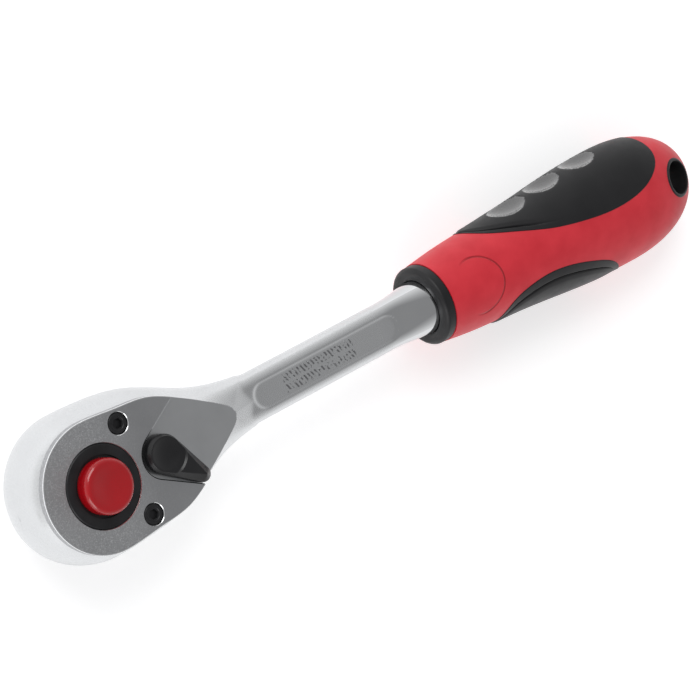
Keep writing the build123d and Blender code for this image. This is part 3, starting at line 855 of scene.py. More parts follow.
@dataclass
class Forging:
    """Forged head, shank and flare, with the hollows for the moving parts."""

    head_radius: float = 16.3
    face_radius: float = 14.2
    bulge: float = 7.5
    neck_end: float = 46.0
    shaft_width: float = 11.0
    shaft_thickness: float = 7.0
    shaft_corner: float = 3.2
    flare_start: float = 83.0
    flare_radius: float = 6.4
    neck_fillet: float = 3.4
    edge_round: float = 1.5
    channel_half: float = 2.9
    channel_depth: float = 0.34
    channel_from: float = 46.4
    channel_to: float = 82.0
    gear_bore: float = 10.7
    room_radius: float = 13.78
    room_angle: float = 43.5
    hub_bore: float = 4.7
    barrel_bore: float = 2.86
    journal_bore: float = 7.46
    pin_bore: float = 2.06
    clip_bore: float = 3.3
    clip_top: float = 12.7
    tail: float = 4.8
    ray_length: float = 26.0
    halvings: int = 34
    steps_round: int = 288
    step_along: float = 0.42

    # Points of the side behind the round front, on the cover face and at the fullest level.
    SHOULDERS = (((-4.8, -0.75), (-8.3, -0.3)), ((2.8, -1.7), (0.7, -1.7)),
                 ((9.8, -4.9), (7.7, -4.5)), ((15.8, -8.4), (15.7, -8.1)))
    # Shares of the head's height, with the fullness of its outline there.
    LEVELS = ((0.0, 0.15), (0.16, 0.74), (7.5 / 14.2, 1.0), (0.84, 0.58), (1.0, 0.0))

    def side_curve(self, fullness: float, count: int = 400) -> np.ndarray:
        """Half outline of the head behind its round front.

        Args:
            fullness: 0 on the cover face and 1 at the fullest level.
            count: Number of points sampled.

        Returns:
            Array of x and half width.
        """
        def between(narrow: float, full: float) -> float:
            """Value at this fullness."""
            return narrow + fullness * (full - narrow)

        front = between(self.face_radius, self.head_radius)
        side = [(0.0, front)]
        for face, full in self.SHOULDERS:
            side.append((front + between(face[0], full[0]), front + between(face[1], full[1])))
        side.append((between(self.face_radius + 22.2, self.neck_end - 2.0),
                     between(1.2, self.shaft_width / 2 - 1.2)))
        run = (side[-1][0] - side[-2][0], side[-1][1] - side[-2][1])
        return through(side, (1.0, 0.0), run, count)

    def face_outline(self, shrink: float = 0.0) -> list[Point]:
        """Closed outline of the cover face.

        Args:
            shrink: How far the outline is drawn in.

        Returns:
            Points in order.
        """
        side = self.side_curve(0.0, 150)
        nose = arc(self.face_radius, 270, 90, 150)
        upper = [tuple(p) for p in side[1:]]
        lower = [(x, -y) for x, y in reversed(upper)]
        points = np.array(nose + upper + lower)
        if shrink:
            ahead, behind = np.roll(points, -1, 0), np.roll(points, 1, 0)
            run = ahead - behind
            run /= np.linalg.norm(run, axis=1)[:, None]
            points = points + shrink * np.column_stack([run[:, 1], -run[:, 0]])
        return [tuple(p) for p in points]

    def fullness(self, z: np.ndarray) -> np.ndarray:
        """Fullness of the head's outline, running on past the deck.

        Args:
            z: Heights.

        Returns:
            The fullness at each height.
        """
        heights = [UNDERSIDE + share * (DECK - UNDERSIDE) for share, _ in self.LEVELS]
        curve = through(list(zip(heights, [full for _, full in self.LEVELS])),
                        (1.0, 0.33), (1.0, -0.32), 300)
        return np.interp(z, curve[:, 0], curve[:, 1]) - 0.32 * np.maximum(z - DECK, 0.0)

    def width_table(self) -> tuple[np.ndarray, np.ndarray, np.ndarray]:
        """Half widths of the head over a grid of fullness and x.

        Returns:
            The fullness values, the x values and the half widths.
        """
        fulls = np.linspace(-0.6, 1.05, 45)
        xs = np.linspace(-self.head_radius - 1, self.neck_end + 4, 900)
        table = np.zeros((len(fulls), len(xs)))
        for i, full in enumerate(fulls):
            front = self.face_radius + full * (self.head_radius - self.face_radius)
            side = self.side_curve(full)
            nose = np.sqrt(np.maximum(front ** 2 - xs ** 2, 0.0)) - (np.abs(xs) > front) * 3.0
            back = np.interp(xs, side[:, 0], side[:, 1])
            back -= np.maximum(xs - side[-1, 0], 0.0) * 2.0
            table[i] = np.where(xs < 0, nose, back)
        return fulls, xs, table

    def side_view(self) -> tuple[Callable[[np.ndarray], np.ndarray], ...]:
        """Top and bottom of the forging, seen from the side.

        Returns:
            Two functions of x that give the heights of the top and the bottom.
        """
        half_tail = self.shaft_thickness / 2 - 0.4
        deck_end, floor_end, tail = self.neck_end - 10, self.neck_end - 28, self.neck_end + 2
        top = through([(deck_end, DECK), (tail, AXIS + half_tail)], (1.0, -0.3), (1.0, 0.0))
        low = through([(floor_end, UNDERSIDE), (tail, AXIS - half_tail)], (1.0, 0.0), (1.0, 0.0))
        return (lambda x: np.interp(x, top[:, 0], top[:, 1]) + 1.3 * (1 - ease(x, 33.0, 37.0)),
                lambda x: np.interp(x, low[:, 0], low[:, 1]))

    def head_field(self, x: np.ndarray, y: np.ndarray, z: np.ndarray) -> np.ndarray:
        """Signed field of the head.

        Args:
            x: Positions along the wrench.
            y: Positions across it.
            z: Heights.

        Returns:
            The field, below 0 inside the head.
        """
        fulls, xs, table = self.tables
        row = np.clip((self.fullness(z) - fulls[0]) / (fulls[1] - fulls[0]), 0, len(fulls) - 1.001)
        column = np.clip((x - xs[0]) / (xs[1] - xs[0]), 0, len(xs) - 1.001)
        i, j = row.astype(int), column.astype(int)
        u, v = row - i, column - j
        width = ((1 - u) * ((1 - v) * table[i, j] + v * table[i, j + 1])
                 + u * ((1 - v) * table[i + 1, j] + v * table[i + 1, j + 1]))
        top, low = self.side
        sides = np.abs(y) - width
        under = blend_max(sides, low(x) - z, self.edge_round)
        return blend_max(under, z - top(x), 0.5 + 2.2 * ease(x, 33.5, 41.0))

    def shank_field(self, x: np.ndarray, y: np.ndarray, z: np.ndarray) -> np.ndarray:
        """Signed field of the shank and the flare.

        Args:
            x: Positions along the wrench.
            y: Positions across it.
            z: Heights.

        Returns:
            The field, below 0 inside them.
        """
        flare = np.clip((x - self.flare_start) / (COLLAR_START - self.flare_start), 0, 1)
        flare = flare * flare * (2 - flare)
        half = self.shaft_width / 2 * (1 - flare) + self.flare_radius * flare
        tall = self.shaft_thickness / 2 * (1 - flare) + self.flare_radius * flare
        corner = self.shaft_corner * (1 - flare) + self.flare_radius * flare
        a = np.abs(y) - half + corner
        b = np.abs(z - AXIS) - tall + corner
        outside = np.hypot(np.maximum(a, 0), np.maximum(b, 0))
        return outside + np.minimum(np.maximum(a, b), 0) - corner

    def field(self, x: np.ndarray, y: np.ndarray, z: np.ndarray) -> np.ndarray:
        """Signed field of the whole forging without its hollows.

        Args:
            x: Positions along the wrench.
            y: Positions across it.
            z: Heights.

        Returns:
            The field, below 0 inside the forging.
        """
        shank = np.maximum(self.shank_field(x, y, z), 22.0 - x)
        whole = blend_min(self.head_field(x, y, z), shank, self.neck_fillet)
        past = np.maximum(np.maximum(self.channel_from - x, x - self.channel_to), 0.0)
        wall = np.hypot(past, y) - self.channel_half
        floor = AXIS + self.shaft_thickness / 2 - self.channel_depth
        return blend_max(whole, -blend_max(0.45 * wall, floor - z, 0.3), 0.3)

    def blank(self) -> bpy.types.Object:
        """Solid forging, sampled on rays from a spine inside it.

        Returns:
            The closed blank.
        """
        self.tables, self.side = self.width_table(), self.side_view()
        turn = np.linspace(0, pi / 2, 64)
        nose = self.head_radius * (-np.cos(turn))
        end = COLLAR_START + self.tail
        run = np.arange(nose[-1] + self.step_along, end, self.step_along)
        xs = np.concatenate([nose[1:], run, [end]])
        spine = UNDERSIDE + self.bulge + (AXIS - UNDERSIDE - self.bulge) * ease(xs, -5.0, 45.0)
        angles = np.arange(self.steps_round) * 2 * pi / self.steps_round
        x = np.repeat(xs[:, None], self.steps_round, 1)
        inner, outer = np.zeros_like(x), np.full_like(x, self.ray_length)
        for _ in range(self.halvings):
            middle = (inner + outer) / 2
            inside = self.field(x, middle * np.cos(angles), spine[:, None]
                                + middle * np.sin(angles)) < 0
            inner, outer = np.where(inside, middle, inner), np.where(inside, outer, middle)
        y, z = inner * np.cos(angles), spine[:, None] + inner * np.sin(angles)
        points = np.stack([x, y, z], 2).reshape(-1, 3)
        tip = len(points)
        points = np.vstack([points, [nose[0], 0.0, spine[0]]])
        count = self.steps_round
        faces = grid_faces(len(xs), count, True)
        faces += [(tip, (j + 1) % count, j) for j in range(count)]
        faces.append(tuple(range(tip - count, tip)))
        return body_of_mesh("forging", points, faces)

    def hollows(self) -> list[bpy.types.Object]:
        """Cutters for the deck, the gear, the pawl, the lever's shaft and the drive's journal.

        Returns:
            The cutters.
        """
        over, under = DECK + 1, UNDERSIDE - 1
        block = [(-40, -40), (80, -40), (80, 40), (-40, 40)]
        fan = [(0.0, 0.0)] + arc(self.room_radius, -self.room_angle, self.room_angle, 60)
        bores = ((self.hub_bore, 96, PIVOT_X, FLOOR, ROOF),
                 (self.barrel_bore, 96, PIVOT_X, ROOF - 1, over),
                 (self.journal_bore, 160, 0.0, under, FLOOR + 1),
                 (self.pin_bore, 72, PIVOT_X, under, FLOOR + 1),
                 (self.clip_bore, 96, PIVOT_X, under, self.clip_top))
        return [cutter(block, DECK, DECK + 20), cutter(circle(self.gear_bore, 180), FLOOR, over),
                cutter(fan, FLOOR, ROOF),
                *(cutter(circle(radius, count, x), low, high)
                  for radius, count, x, low, high in bores)]

    def build(self, wardrobe: Wardrobe) -> None:
        """Make the forging and dress it.

        Args:
            wardrobe: Gives the materials.
        """
        piece = self.blank()
        cut(piece, *self.hollows())
        for finish in (Finish.FORGED_CHROME, Finish.SATIN_DECK):
            piece.data.materials.append(wardrobe.get(finish))
        for face in piece.data.polygons:
            on_deck = face.normal.z > 0.98 and abs(face.center.z - DECK * MM) < 0.02 * MM
            face.material_index = int(on_deck)
        shade(piece, 38.0)
        finish_piece(piece, "handle_and_head", "forged_chrome",
                     wardrobe.get(Finish.FORGED_CHROME), "ratchet_body")


# --- cover and screws -------------------------------------------------------------------------


@dataclass
class Cover:
    """Cover plate with the lever's pocket, and the two screws that hold it."""

    forging: Forging
    hub_bore: float = 8.9
    pocket_radius: float = 5.15
    pocket_angle: float = 30.0
    screw_x: float = 8.45
    screw_y: float = 10.3
    seat: float = 26.05
    counterbore: float = 2.4
    clearance: float = 1.35
    screw_head: float = 2.2
    screw_shank: float = 1.25
    screw_length: float = 6.5
    screw_rise: float = 1.3
    hexagon: float = 1.155
    edge: float = 0.24

    def pocket(self, grow: float = 0.0) -> list[Point]:
        """Outline of the fan-shaped pocket, open towards the shank.

        Args:
            grow: How far the outline is widened.

        Returns:
            Points in order.
        """
        half, reach = self.pocket_angle, 60.0
        turn = arc(self.pocket_radius + grow, 90 + half, 270 - half, 60)
        points = [(PIVOT_X + x, y) for x, y in turn]
        far = (points[0][0] + reach * cos(radians(half)), points[0][1] + reach * sin(radians(half)))
        return points + [(far[0], -far[1]), far]

    def build(self, wardrobe: Wardrobe) -> None:
        """Make the cover and its screws and dress them.

        Args:
            wardrobe: Gives the materials.
        """
        edge, outline = self.edge, self.forging.face_outline
        plate = stack("cover", [(outline(), DECK), (outline(), FACE - edge),
                                (outline(0.3 * edge), FACE - 0.3 * edge), (outline(edge), FACE)])
        cut(plate, stack("cut", [(self.pocket(), DECK - 1), (self.pocket(), FACE - edge),
                                 (self.pocket(2 * edge), FACE + edge)]),
            flared_hole(self.hub_bore, DECK - 1, FACE, 0.6 * edge))
        for y in (-self.screw_y, self.screw_y):
            cut(plate,
                flared_hole(self.counterbore, self.seat, FACE, 0.4 * edge, self.screw_x, y),
                cutter(circle(self.clearance, 48, self.screw_x, y), DECK - 1, FACE + 1))
        for finish in (Finish.BLASTED_STEEL, Finish.BRIGHT_EDGE):
            plate.data.materials.append(wardrobe.get(finish))
        for face in plate.data.polygons:
            face.material_index = int(0.15 < face.normal.z < 0.97)
        shade(plate, 30.0)
        finish_piece(plate, "handle_and_head", "blasted_steel",
                     wardrobe.get(Finish.BLASTED_STEEL), "cover_plate")
        screws = join("screws", [self.screw(y) for y in (-self.screw_y, self.screw_y)])
        finish_piece(screws, "handle_and_head", "black_oxide", wardrobe.get(Finish.BLACK_OXIDE),
                     "cover_screws")

    def screw(self, y: float) -> bpy.types.Object:
        """Socket-head screw with a rounded rim.

        Args:
            y: Which side it stands on.

        Returns:
            The screw.
        """
        top, end, edge = self.seat + self.screw_rise, self.seat - self.screw_length, 0.25
        profile = [(0.0, end), (self.screw_shank - 0.15, end), (self.screw_shank, end + 0.2),
                   (self.screw_shank, self.seat), (self.screw_head, self.seat)]
        profile += rounded((self.screw_head - edge, top - edge), edge, 0, 90)
        profile += [(1.5, top), (1.38, top - 0.12), (0.0, top - 0.12)]
        made = lathe("screw", profile, 96, x=self.screw_x, y=y)
        socket = circle(self.hexagon, 6, self.screw_x, y)
        cut(made, cutter(socket, top - 0.9, top + 1))
        shade(made, 30.0)
        return made


# --- button, lever ----------------------------------------------------------------------------


@dataclass
class Button:
    """Red quick-release button with a rounded rim and a shallow dish."""

    radius: float = 5.9
    top: float = 30.4
    rim: float = 1.15
    dish: float = 0.42
    wall: float = 1.0
    roof: float = 27.9
    flange: float = 0.6
    flange_top: float = 26.2
    flange_depth: float = 1.2
    dish_steps: int = 24

    def build(self, wardrobe: Wardrobe) -> None:
        """Turn the button's profile and dress it.

        Args:
            wardrobe: Gives the materials.
        """
        inner, flat = self.radius - self.wall, self.radius - self.rim
        low, wide = self.flange_top - self.flange_depth, self.radius + self.flange
        profile = [(0.0, self.roof), (inner - 0.2, self.roof), (inner, self.roof - 0.2),
                   (inner, low), (wide, low), (wide, self.flange_top),
                   (self.radius, self.flange_top), (self.radius, self.roof + 0.1)]
        profile += rounded((flat, self.top - self.rim), self.rim, 0, 90, 18)
        for i in range(1, self.dish_steps + 1):
            share = 1 - i / self.dish_steps
            radius = (flat - 0.15) * share
            profile.append((radius, self.top - self.dish * (1 - share ** 2) ** 1.6))
        piece = lathe("button", profile, 200)
        shade(piece, 40.0)
        finish_piece(piece, "button", "red_button", wardrobe.get(Finish.RED_BUTTON),
                     "release_button")


@dataclass
class Lever:
    """Reversing lever: round hub with a dish, and a finger that narrows to a ridge."""

    hub: float = 4.25
    tip: float = 1.75
    reach: float = 10.4
    low: float = 25.8
    high: float = 29.1
    hub_drop: float = 0.42
    bowl: float = 3.3
    bowl_depth: float = 0.5
    socket: float = 1.7
    edge: float = 0.12

    def outline(self, hub: float, tip: float) -> list[Point]:
        """Hull of two circles, with the same number of points whatever their radii.

        Args:
            hub: Radius of the circle at the pivot.
            tip: Radius of the circle at the finger's tip.

        Returns:
            Points in order.
        """
        lean = 90 - degrees(asin((self.hub - self.tip) / self.reach))
        points, flank = arc(hub, lean, 360 - lean, 90), 14
        nose = [(self.reach + x, y) for x, y in arc(tip, -lean, lean, 40)]
        lower = [self.mix(points[-1], nose[0], i / flank) for i in range(1, flank)]
        upper = [self.mix(nose[-1], points[0], i / flank) for i in range(1, flank)]
        return points + lower + nose + upper

    @staticmethod
    def mix(first: Point, second: Point, share: float) -> Point:
        """Point between two points."""
        return tuple(a + share * (b - a) for a, b in zip(first, second))

    def build(self, wardrobe: Wardrobe) -> None:
        """Stack the lever's outlines, sink the dish and dress it.

        Args:
            wardrobe: Gives the materials.
        """
        ridge = self.tip - 0.1
        # Height of each level, and how far the hub and the tip are drawn in there.
        levels = [(self.low, 0.12, 0.1), (self.low + 0.12, 0.0, 0.0), (self.high - 1.35, 0.0, 0.0),
                  (self.high - 1.15, 0.05, 0.07), (self.high - 1.0, 0.16, 0.2),
                  (self.high - 0.12, 0.62, ridge - 0.16), (self.high, 0.8, ridge)]
        piece = stack("lever", [(self.outline(self.hub - a, self.tip - b), z)
                                for z, a, b in levels])
        top, steps, half = self.high - self.hub_drop, 14, self.socket
        base = top - self.bowl_depth
        bowl = [(self.bowl * i / steps, base + self.bowl_depth * (i / steps) ** 2)
                for i in range(steps + 1)]
        bowl += [(3.55, top + 0.06), (4.5, top + 0.1), (5.0, top + 0.5), (5.1, top + 3),
                 (0.0, top + 3)]
        square = [(-half, -half), (half, -half), (half, half), (-half, half)]
        cut(piece, lathe("cut", bowl, 128), cutter(square, self.low - 1, self.low + 2.0))
        spin = Matrix.Rotation(radians(LEVER_REST), 4, "Z")
        piece.data.transform(Matrix.Translation((PIVOT_X * MM, 0, 0)) @ spin)
        break_edges(piece, self.edge, 28.0)
        shade(piece, 30.0)
        finish_piece(piece, "lever", "black_lever", wardrobe.get(Finish.BLACK_LEVER),
                     "reverse_lever")


# --- handle -----------------------------------------------------------------------------------


@dataclass
class Pad:
    """One soft pad: its edge in plan, the side it lies on and the crease along that edge.

    Fields are its name, the CAD node, the edge, the side, the crease's distance from the edge,
    the share of the edge where the crease starts, fades and ends.
    """

    name: str
    node: str
    edge: Sequence[Point]
    side: int
    crease: float
    crease_from: float
    crease_to: float


@dataclass
class Handle:
    """Moulded shell, two soft pads with finger hollows, the collar and the hanging hole."""

    collar_radius: float = 9.3
    collar_bore: float = 6.4
    half_width: float = 14.1
    half_height: float = 10.7
    pad_depth: float = 2.8
    pad_proud: float = 0.14
    hang_x: float = 171.4
    bush_inner: float = 3.95
    bush_outer: float = 4.75
    scallop_radius: float = 8.5
    scallop_depth: float = 1.75
    scallop_rise: float = 3.6
    cap_fullness: float = 2.28
    shell_let_in: float = 2.7
    rim_lift: float = 0.34
    pad_columns: int = 230
    pad_steps: int = 84
    shell_round: int = 300
    shell_step: float = 0.45
    bush_round: int = 160

    # Shares of the length before the cap, with the growth of the width and of the height.
    GROWTH = ((0.0, 0.0, 0.0), (0.15, 0.22, 0.2), (0.36, 0.38, 0.5), (0.67, 0.76, 0.9),
              (1.0, 1.0, 1.0))
    # Where the finger hollows lie along the handle.
    HOLLOWS = (124.6, 136.3, 148.7)
    # Edges of the pads in plan, each from the collar's end to the cap.
    UPPER = ((108.8, 12.4), (112.8, 9.9), (120.0, 7.0), (128.9, 4.0), (138.8, 1.9), (148.3, 0.9),
             (156.3, 1.5), (163.3, 4.0), (166.9, 7.8), (166.5, 11.5), (161.8, 16.5))
    LOWER = ((109.9, 13.2), (111.6, 9.8), (114.2, 7.2), (119.1, 5.5), (125.3, 4.9), (132.5, 5.8),
             (139.3, 7.7), (146.1, 10.7), (151.5, 15.4))

    def __post_init__(self) -> None:
        """Work out the growth of the sections once."""
        start = self.collar_radius + 0.15
        length = CAP_START - HANDLE_START
        wide = [(way * length, start + w * (self.half_width - start)) for way, w, _ in self.GROWTH]
        high = [(way * length, start + h * (self.half_height - start)) for way, _, h in self.GROWTH]
        self.wide = through(wide, (1.0, 0.14), (1.0, 0.0))
        self.high = through(high, (1.0, 0.02), (1.0, 0.0))

    def halves(self, x: np.ndarray) -> tuple[np.ndarray, np.ndarray]:
        """Half width and half height of the handle's section.

        Args:
            x: Positions along the handle.

        Returns:
            The half widths and the half heights.
        """
        way = np.clip((x - CAP_START) / (HANDLE_END - CAP_START), 0.0, 1.0)
        shrink = (1 - way ** self.cap_fullness) ** (1 / self.cap_fullness)
        wide = np.interp(x - HANDLE_START, self.wide[:, 0], self.wide[:, 1])
        high = np.interp(x - HANDLE_START, self.high[:, 0], self.high[:, 1])
        return wide * shrink, high * shrink

    def skin(self, x: np.ndarray, angle: np.ndarray, out: np.ndarray) -> np.ndarray:
        """Points on the handle's skin, moved out along its normal.

        Args:
            x: Positions along the handle.
            angle: Angles round it, from +Y over the top.
            out: How far each point is moved out.

        Returns:
            Array of points.
        """
        wide, high = self.halves(x)
        y, z = wide * np.cos(angle), high * np.sin(angle)
        step = 0.05
        ahead = self.halves(x + step)
        behind = self.halves(x - step)
        safe_w, safe_h = np.maximum(wide, 0.4), np.maximum(high, 0.4)
        slope = ((ahead[0] - behind[0]) / (2 * step) * np.cos(angle) ** 2
                 + (ahead[1] - behind[1]) / (2 * step) * np.sin(angle) ** 2)
        ny, nz = np.cos(angle) / safe_w, np.sin(angle) / safe_h
        size = np.hypot(ny, nz)
        ny, nz = ny / size, nz / size
        nx = -np.clip(slope, -4.0, 4.0)
        length = np.sqrt(nx ** 2 + 1)
        return np.stack([x + out * nx / length, y + out * ny / length,
                         AXIS + z + out * nz / length], -1)

    def edge_angle(self, x: np.ndarray, y: np.ndarray) -> np.ndarray:
        """Angle of the skin point that stands over a plan point, 0 at the side."""
        wide, _ = self.halves(x)
        return np.arccos(np.clip(y / np.maximum(wide, 0.01), -1.0, 1.0))

    def pad_edge(self, points: Sequence[Point], count: int) -> np.ndarray:
        """Edge of a pad in plan, kept to the part that lies on the handle.

        Args:
            points: Points of the edge on the +Y side.
            count: Number of points sampled.

        Returns:
            Array of x and y.
        """
        first = np.subtract(points[1], points[0])
        last = np.subtract(points[-1], points[-2])
        curve = through(points, tuple(first), tuple(last), 3000)
        wide, _ = self.halves(curve[:, 0])
        curve = curve[curve[:, 1] < wide]
        along = np.concatenate([[0], np.cumsum(np.hypot(*np.diff(curve, axis=0).T))])
        share = np.linspace(0, 1, count)
        share = 0.5 - 0.5 * np.cos(pi * share) * (0.35 + 0.65 * np.abs(np.cos(pi * share)) ** 0.2)
        where = share * along[-1]
        return np.column_stack([np.interp(where, along, curve[:, i]) for i in (0, 1)])

    def pad_rows(self, pad: Pad, columns: int, rows: int) -> tuple[np.ndarray, ...]:
        """Grid of a pad in plan position and angle, from its edge to the handle's side.

        Args:
            pad: The pad.
            columns: Number of points along the edge.
            rows: Number of points from the edge to the side.

        Returns:
            Positions, angles, distances from the edge and shares along it.
        """
        edge = self.pad_edge(pad.edge, columns)
        angle = self.edge_angle(edge[:, 0], edge[:, 1])
        angle[0] = angle[-1] = 0.0
        ends = edge[0, 0], edge[-1, 0]
        share = np.linspace(0, 1, columns)
        along = ends[0] + (ends[1] - ends[0]) * (0.5 - 0.5 * np.cos(pi * share))
        along = 0.45 * along + 0.55 * np.minimum(edge[:, 0], ends[1])
        along[0], along[-1] = ends
        wide, high = self.halves(edge[:, 0])
        depth = angle * (wide + high) / 2
        power = 1.0 + 1.2 * ease(depth, 1.0, 9.0)
        t = np.linspace(0, 1, rows)[:, None] ** power[None, :]
        x = edge[:, 0] + (along - edge[:, 0]) * t
        around = angle * (1 - t)
        return x, around, depth * t, np.repeat(share[None, :], rows, 0)

    def pad_relief(self, pad: Pad, gap: np.ndarray, share: np.ndarray) -> np.ndarray:
        """Relief of a pad's skin, with its rolled edge and its crease.

        Args:
            pad: The pad.
            gap: Distances from its edge.
            share: Shares along its edge.

        Returns:
            How far each point stands out.
        """
        out = self.pad_proud - 0.75 * (1 - ease(gap, -0.05, 0.42)) ** 2
        fade = ease(share, pad.crease_from, pad.crease_from + 0.06)
        fade = fade * (1 - ease(share, pad.crease_to - 0.16, pad.crease_to))
        groove = np.exp(-((gap - pad.crease) / 0.2) ** 2)
        rise = ease(gap, pad.crease, pad.crease + 1.6)
        return out - 0.42 * groove * fade + 0.22 * rise * fade

    def hollow_centres(self) -> list[tuple[float, float, float]]:
        """Balls that press the finger hollows.

        Returns:
            The centre of each ball.
        """
        lift = self.scallop_radius - self.scallop_depth
        return [(x, float(self.halves(np.array([x]))[0][0]) + lift, AXIS + self.scallop_rise)
                for x in self.HOLLOWS]

    def sink_hollows(self, points: np.ndarray) -> np.ndarray:
        """Press the three finger hollows, shaped like spoons, into points on the +Y side.

        Args:
            points: Array of points, which is changed.

        Returns:
            The same array.
        """
        for x, y, z in self.hollow_centres():
            fall = self.scallop_radius ** 2 - (points[..., 0] - x) ** 2 - (points[..., 2] - z) ** 2
            wall = y - np.sqrt(np.maximum(fall, 0.0))
            soft = blend_min(points[..., 1], wall, 0.35)
            points[..., 1] = np.where(fall > 0.0, np.minimum(points[..., 1], soft),
                                      points[..., 1])
        return points

    def make_pad(self, pad: Pad, wardrobe: Wardrobe) -> None:
        """Make one pad as a closed skin and dress it.

        Args:
            pad: The pad.
            wardrobe: Gives the materials.
        """
        columns = self.pad_columns
        x, angle, gap, share = self.pad_rows(pad, columns, self.pad_steps)
        out = self.pad_relief(pad, gap, share)
        outer, inner = [], []
        for sign in (1, -1):
            top = self.skin(x, sign * angle, out)
            deep = self.skin(x, sign * angle, np.minimum(out - 0.1, -self.pad_depth))
            outer.append(top if sign > 0 else top[::-1][1:])
            inner.append(deep if sign > 0 else deep[::-1][1:])
        outer, inner = np.concatenate(outer), np.concatenate(inner)
        if pad.side > 0:
            outer = self.sink_hollows(outer)
        height = outer.shape[0]
        points = np.concatenate([outer.reshape(-1, 3), inner.reshape(-1, 3)])
        points[:, 1] *= pad.side
        size = height * columns
        faces = grid_faces(height, columns, False) + grid_faces(height, columns, False, size)
        for row in (0, height - 1):
            base = row * columns
            faces += [(base + j, base + j + 1, size + base + j + 1, size + base + j)
                      for j in range(columns - 1)]
        for column in (0, columns - 1):
            faces += [(i * columns + column, (i + 1) * columns + column,
                       size + (i + 1) * columns + column, size + i * columns + column)
                      for i in range(height - 1)]
        piece = body_of_mesh(pad.name, points, faces)
        for finish in (Finish.GRIP_RUBBER, Finish.GRIP_GLOSS_PAINTED_SHEEN):
            piece.data.materials.append(wardrobe.get(finish))
        # Faces inside the finger hollows take the glossy rubber, whose lighter tone is painted
        # sheen.
        centres = [Vector(centre) for centre in self.hollow_centres()] if pad.side > 0 else []
        for face in piece.data.polygons:
            middle, reach = face.center / MM, self.scallop_radius + 0.12
            face.material_index = int(any((middle - ball).length < reach for ball in centres))
        shade(piece, 40.0, weighted=False)
        finish_piece(piece, "handle_and_head", "grip_rubber", wardrobe.get(Finish.GRIP_RUBBER),
                     pad.node)

    def inside_edge(self, pad: Pad, x: np.ndarray, y: np.ndarray) -> np.ndarray:
        """Distance of plan points inside a pad's edge.

        Args:
            pad: The pad.
            x: Positions along the handle.
            y: Positions across it.

        Returns:
            The distances, negative outside the edge.
        """
        edge = self.pad_edge(pad.edge, 400)
        closed = np.vstack([edge, [(edge[-1, 0], 30.0), (edge[0, 0], 30.0)]])
        flat = np.stack([x, y * pad.side], -1)
        inside = np.zeros(x.shape, bool)
        for a, b in zip(closed, np.roll(closed, -1, 0)):
            crosses = (a[1] > flat[..., 1]) != (b[1] > flat[..., 1])
            run = b[1] - a[1] if abs(b[1] - a[1]) > 1e-9 else 1e-9
            left = flat[..., 0] < a[0] + (flat[..., 1] - a[1]) / run * (b[0] - a[0])
            inside ^= crosses & left
        away = np.full(x.shape, 1e9)
        for point in edge[::2]:
            away = np.minimum(away, np.hypot(flat[..., 0] - point[0], flat[..., 1] - point[1]))
        return np.where(inside, away, -away)

    def make_shell(self, pads: Sequence[Pad], wardrobe: Wardrobe) -> None:
        """Make the shell, let in under the pads, with the hanging hole, and dress it.

        Args:
            pads: The pads that lie on it.
            wardrobe: Gives the materials.
        """
        run = np.arange(HANDLE_START, CAP_START, self.shell_step)
        turn = np.linspace(0, pi / 2, 70)
        cap = CAP_START + (HANDLE_END - CAP_START) * np.sin(turn)
        xs = np.concatenate([run, cap[:-1]])
        count = self.shell_round
        angles = np.arange(count) * 2 * pi / count
        x = np.repeat(xs[:, None], count, 1)
        angle = np.repeat(angles[None, :], len(xs), 0)
        flat = self.skin(x, angle, np.zeros_like(x))
        out = np.zeros_like(x)
        for pad in pads:
            gap = self.inside_edge(pad, flat[..., 0], flat[..., 1])
            out -= self.shell_let_in * ease(gap, 0.25, 1.8)
        points = self.skin(x, angle, out).reshape(-1, 3)
        tip = len(points)
        points = np.vstack([points, [HANDLE_END, 0.0, AXIS]])
        faces = grid_faces(len(xs), count, True) + [tuple(range(count))]
        faces += [(tip - count + j, tip - count + (j + 1) % count, tip) for j in range(count)]
        piece = body_of_mesh("shell", points, faces)
        cut(piece, cutter(circle(self.bush_outer, 128, self.hang_x), -20, 60))
        shade(piece, 45.0, weighted=False)
        finish_piece(piece, "handle_and_head", "red_shell", wardrobe.get(Finish.RED_SHELL),
                     "handle_shell")

    def surface(self, x: float, y: float) -> float:
        """Height of the handle's skin above its axis over a plan point."""
        wide, high = self.halves(np.array([x]))
        return float(high[0] * sqrt(max(1 - (y / wide[0]) ** 2, 0.0)))

    def make_bush(self, wardrobe: Wardrobe) -> None:
        """Make the lining of the hanging hole, with rims that follow the skin, and dress it.

        Args:
            wardrobe: Gives the materials.
        """
        middle = (self.bush_inner + self.bush_outer) / 2
        half = (self.bush_outer - self.bush_inner) / 2
        rim = [(middle + half * cos(a), self.rim_lift * sin(a)) for a in np.linspace(0, pi, 12)]
        rows = [(*point, 1) for point in rim] + [(*point, -1) for point in reversed(rim)]
        count = self.bush_round
        points = []
        for radius, lift, sign in rows:
            for x, y in circle(radius, count, self.hang_x):
                level = self.surface(x, y) + lift - 0.1
                points.append((x, y, AXIS + sign * level))
        faces = grid_faces(len(rows), count, True)
        last = (len(rows) - 1) * count
        faces += [(j, (j + 1) % count, last + (j + 1) % count, last + j) for j in range(count)]
        piece = body_of_mesh("hang_lining", np.array(points), faces)
        shade(piece, 50.0, weighted=False)
        finish_piece(piece, "handle_and_head", "black_core", wardrobe.get(Finish.BLACK_CORE),
                     "hang_bush")

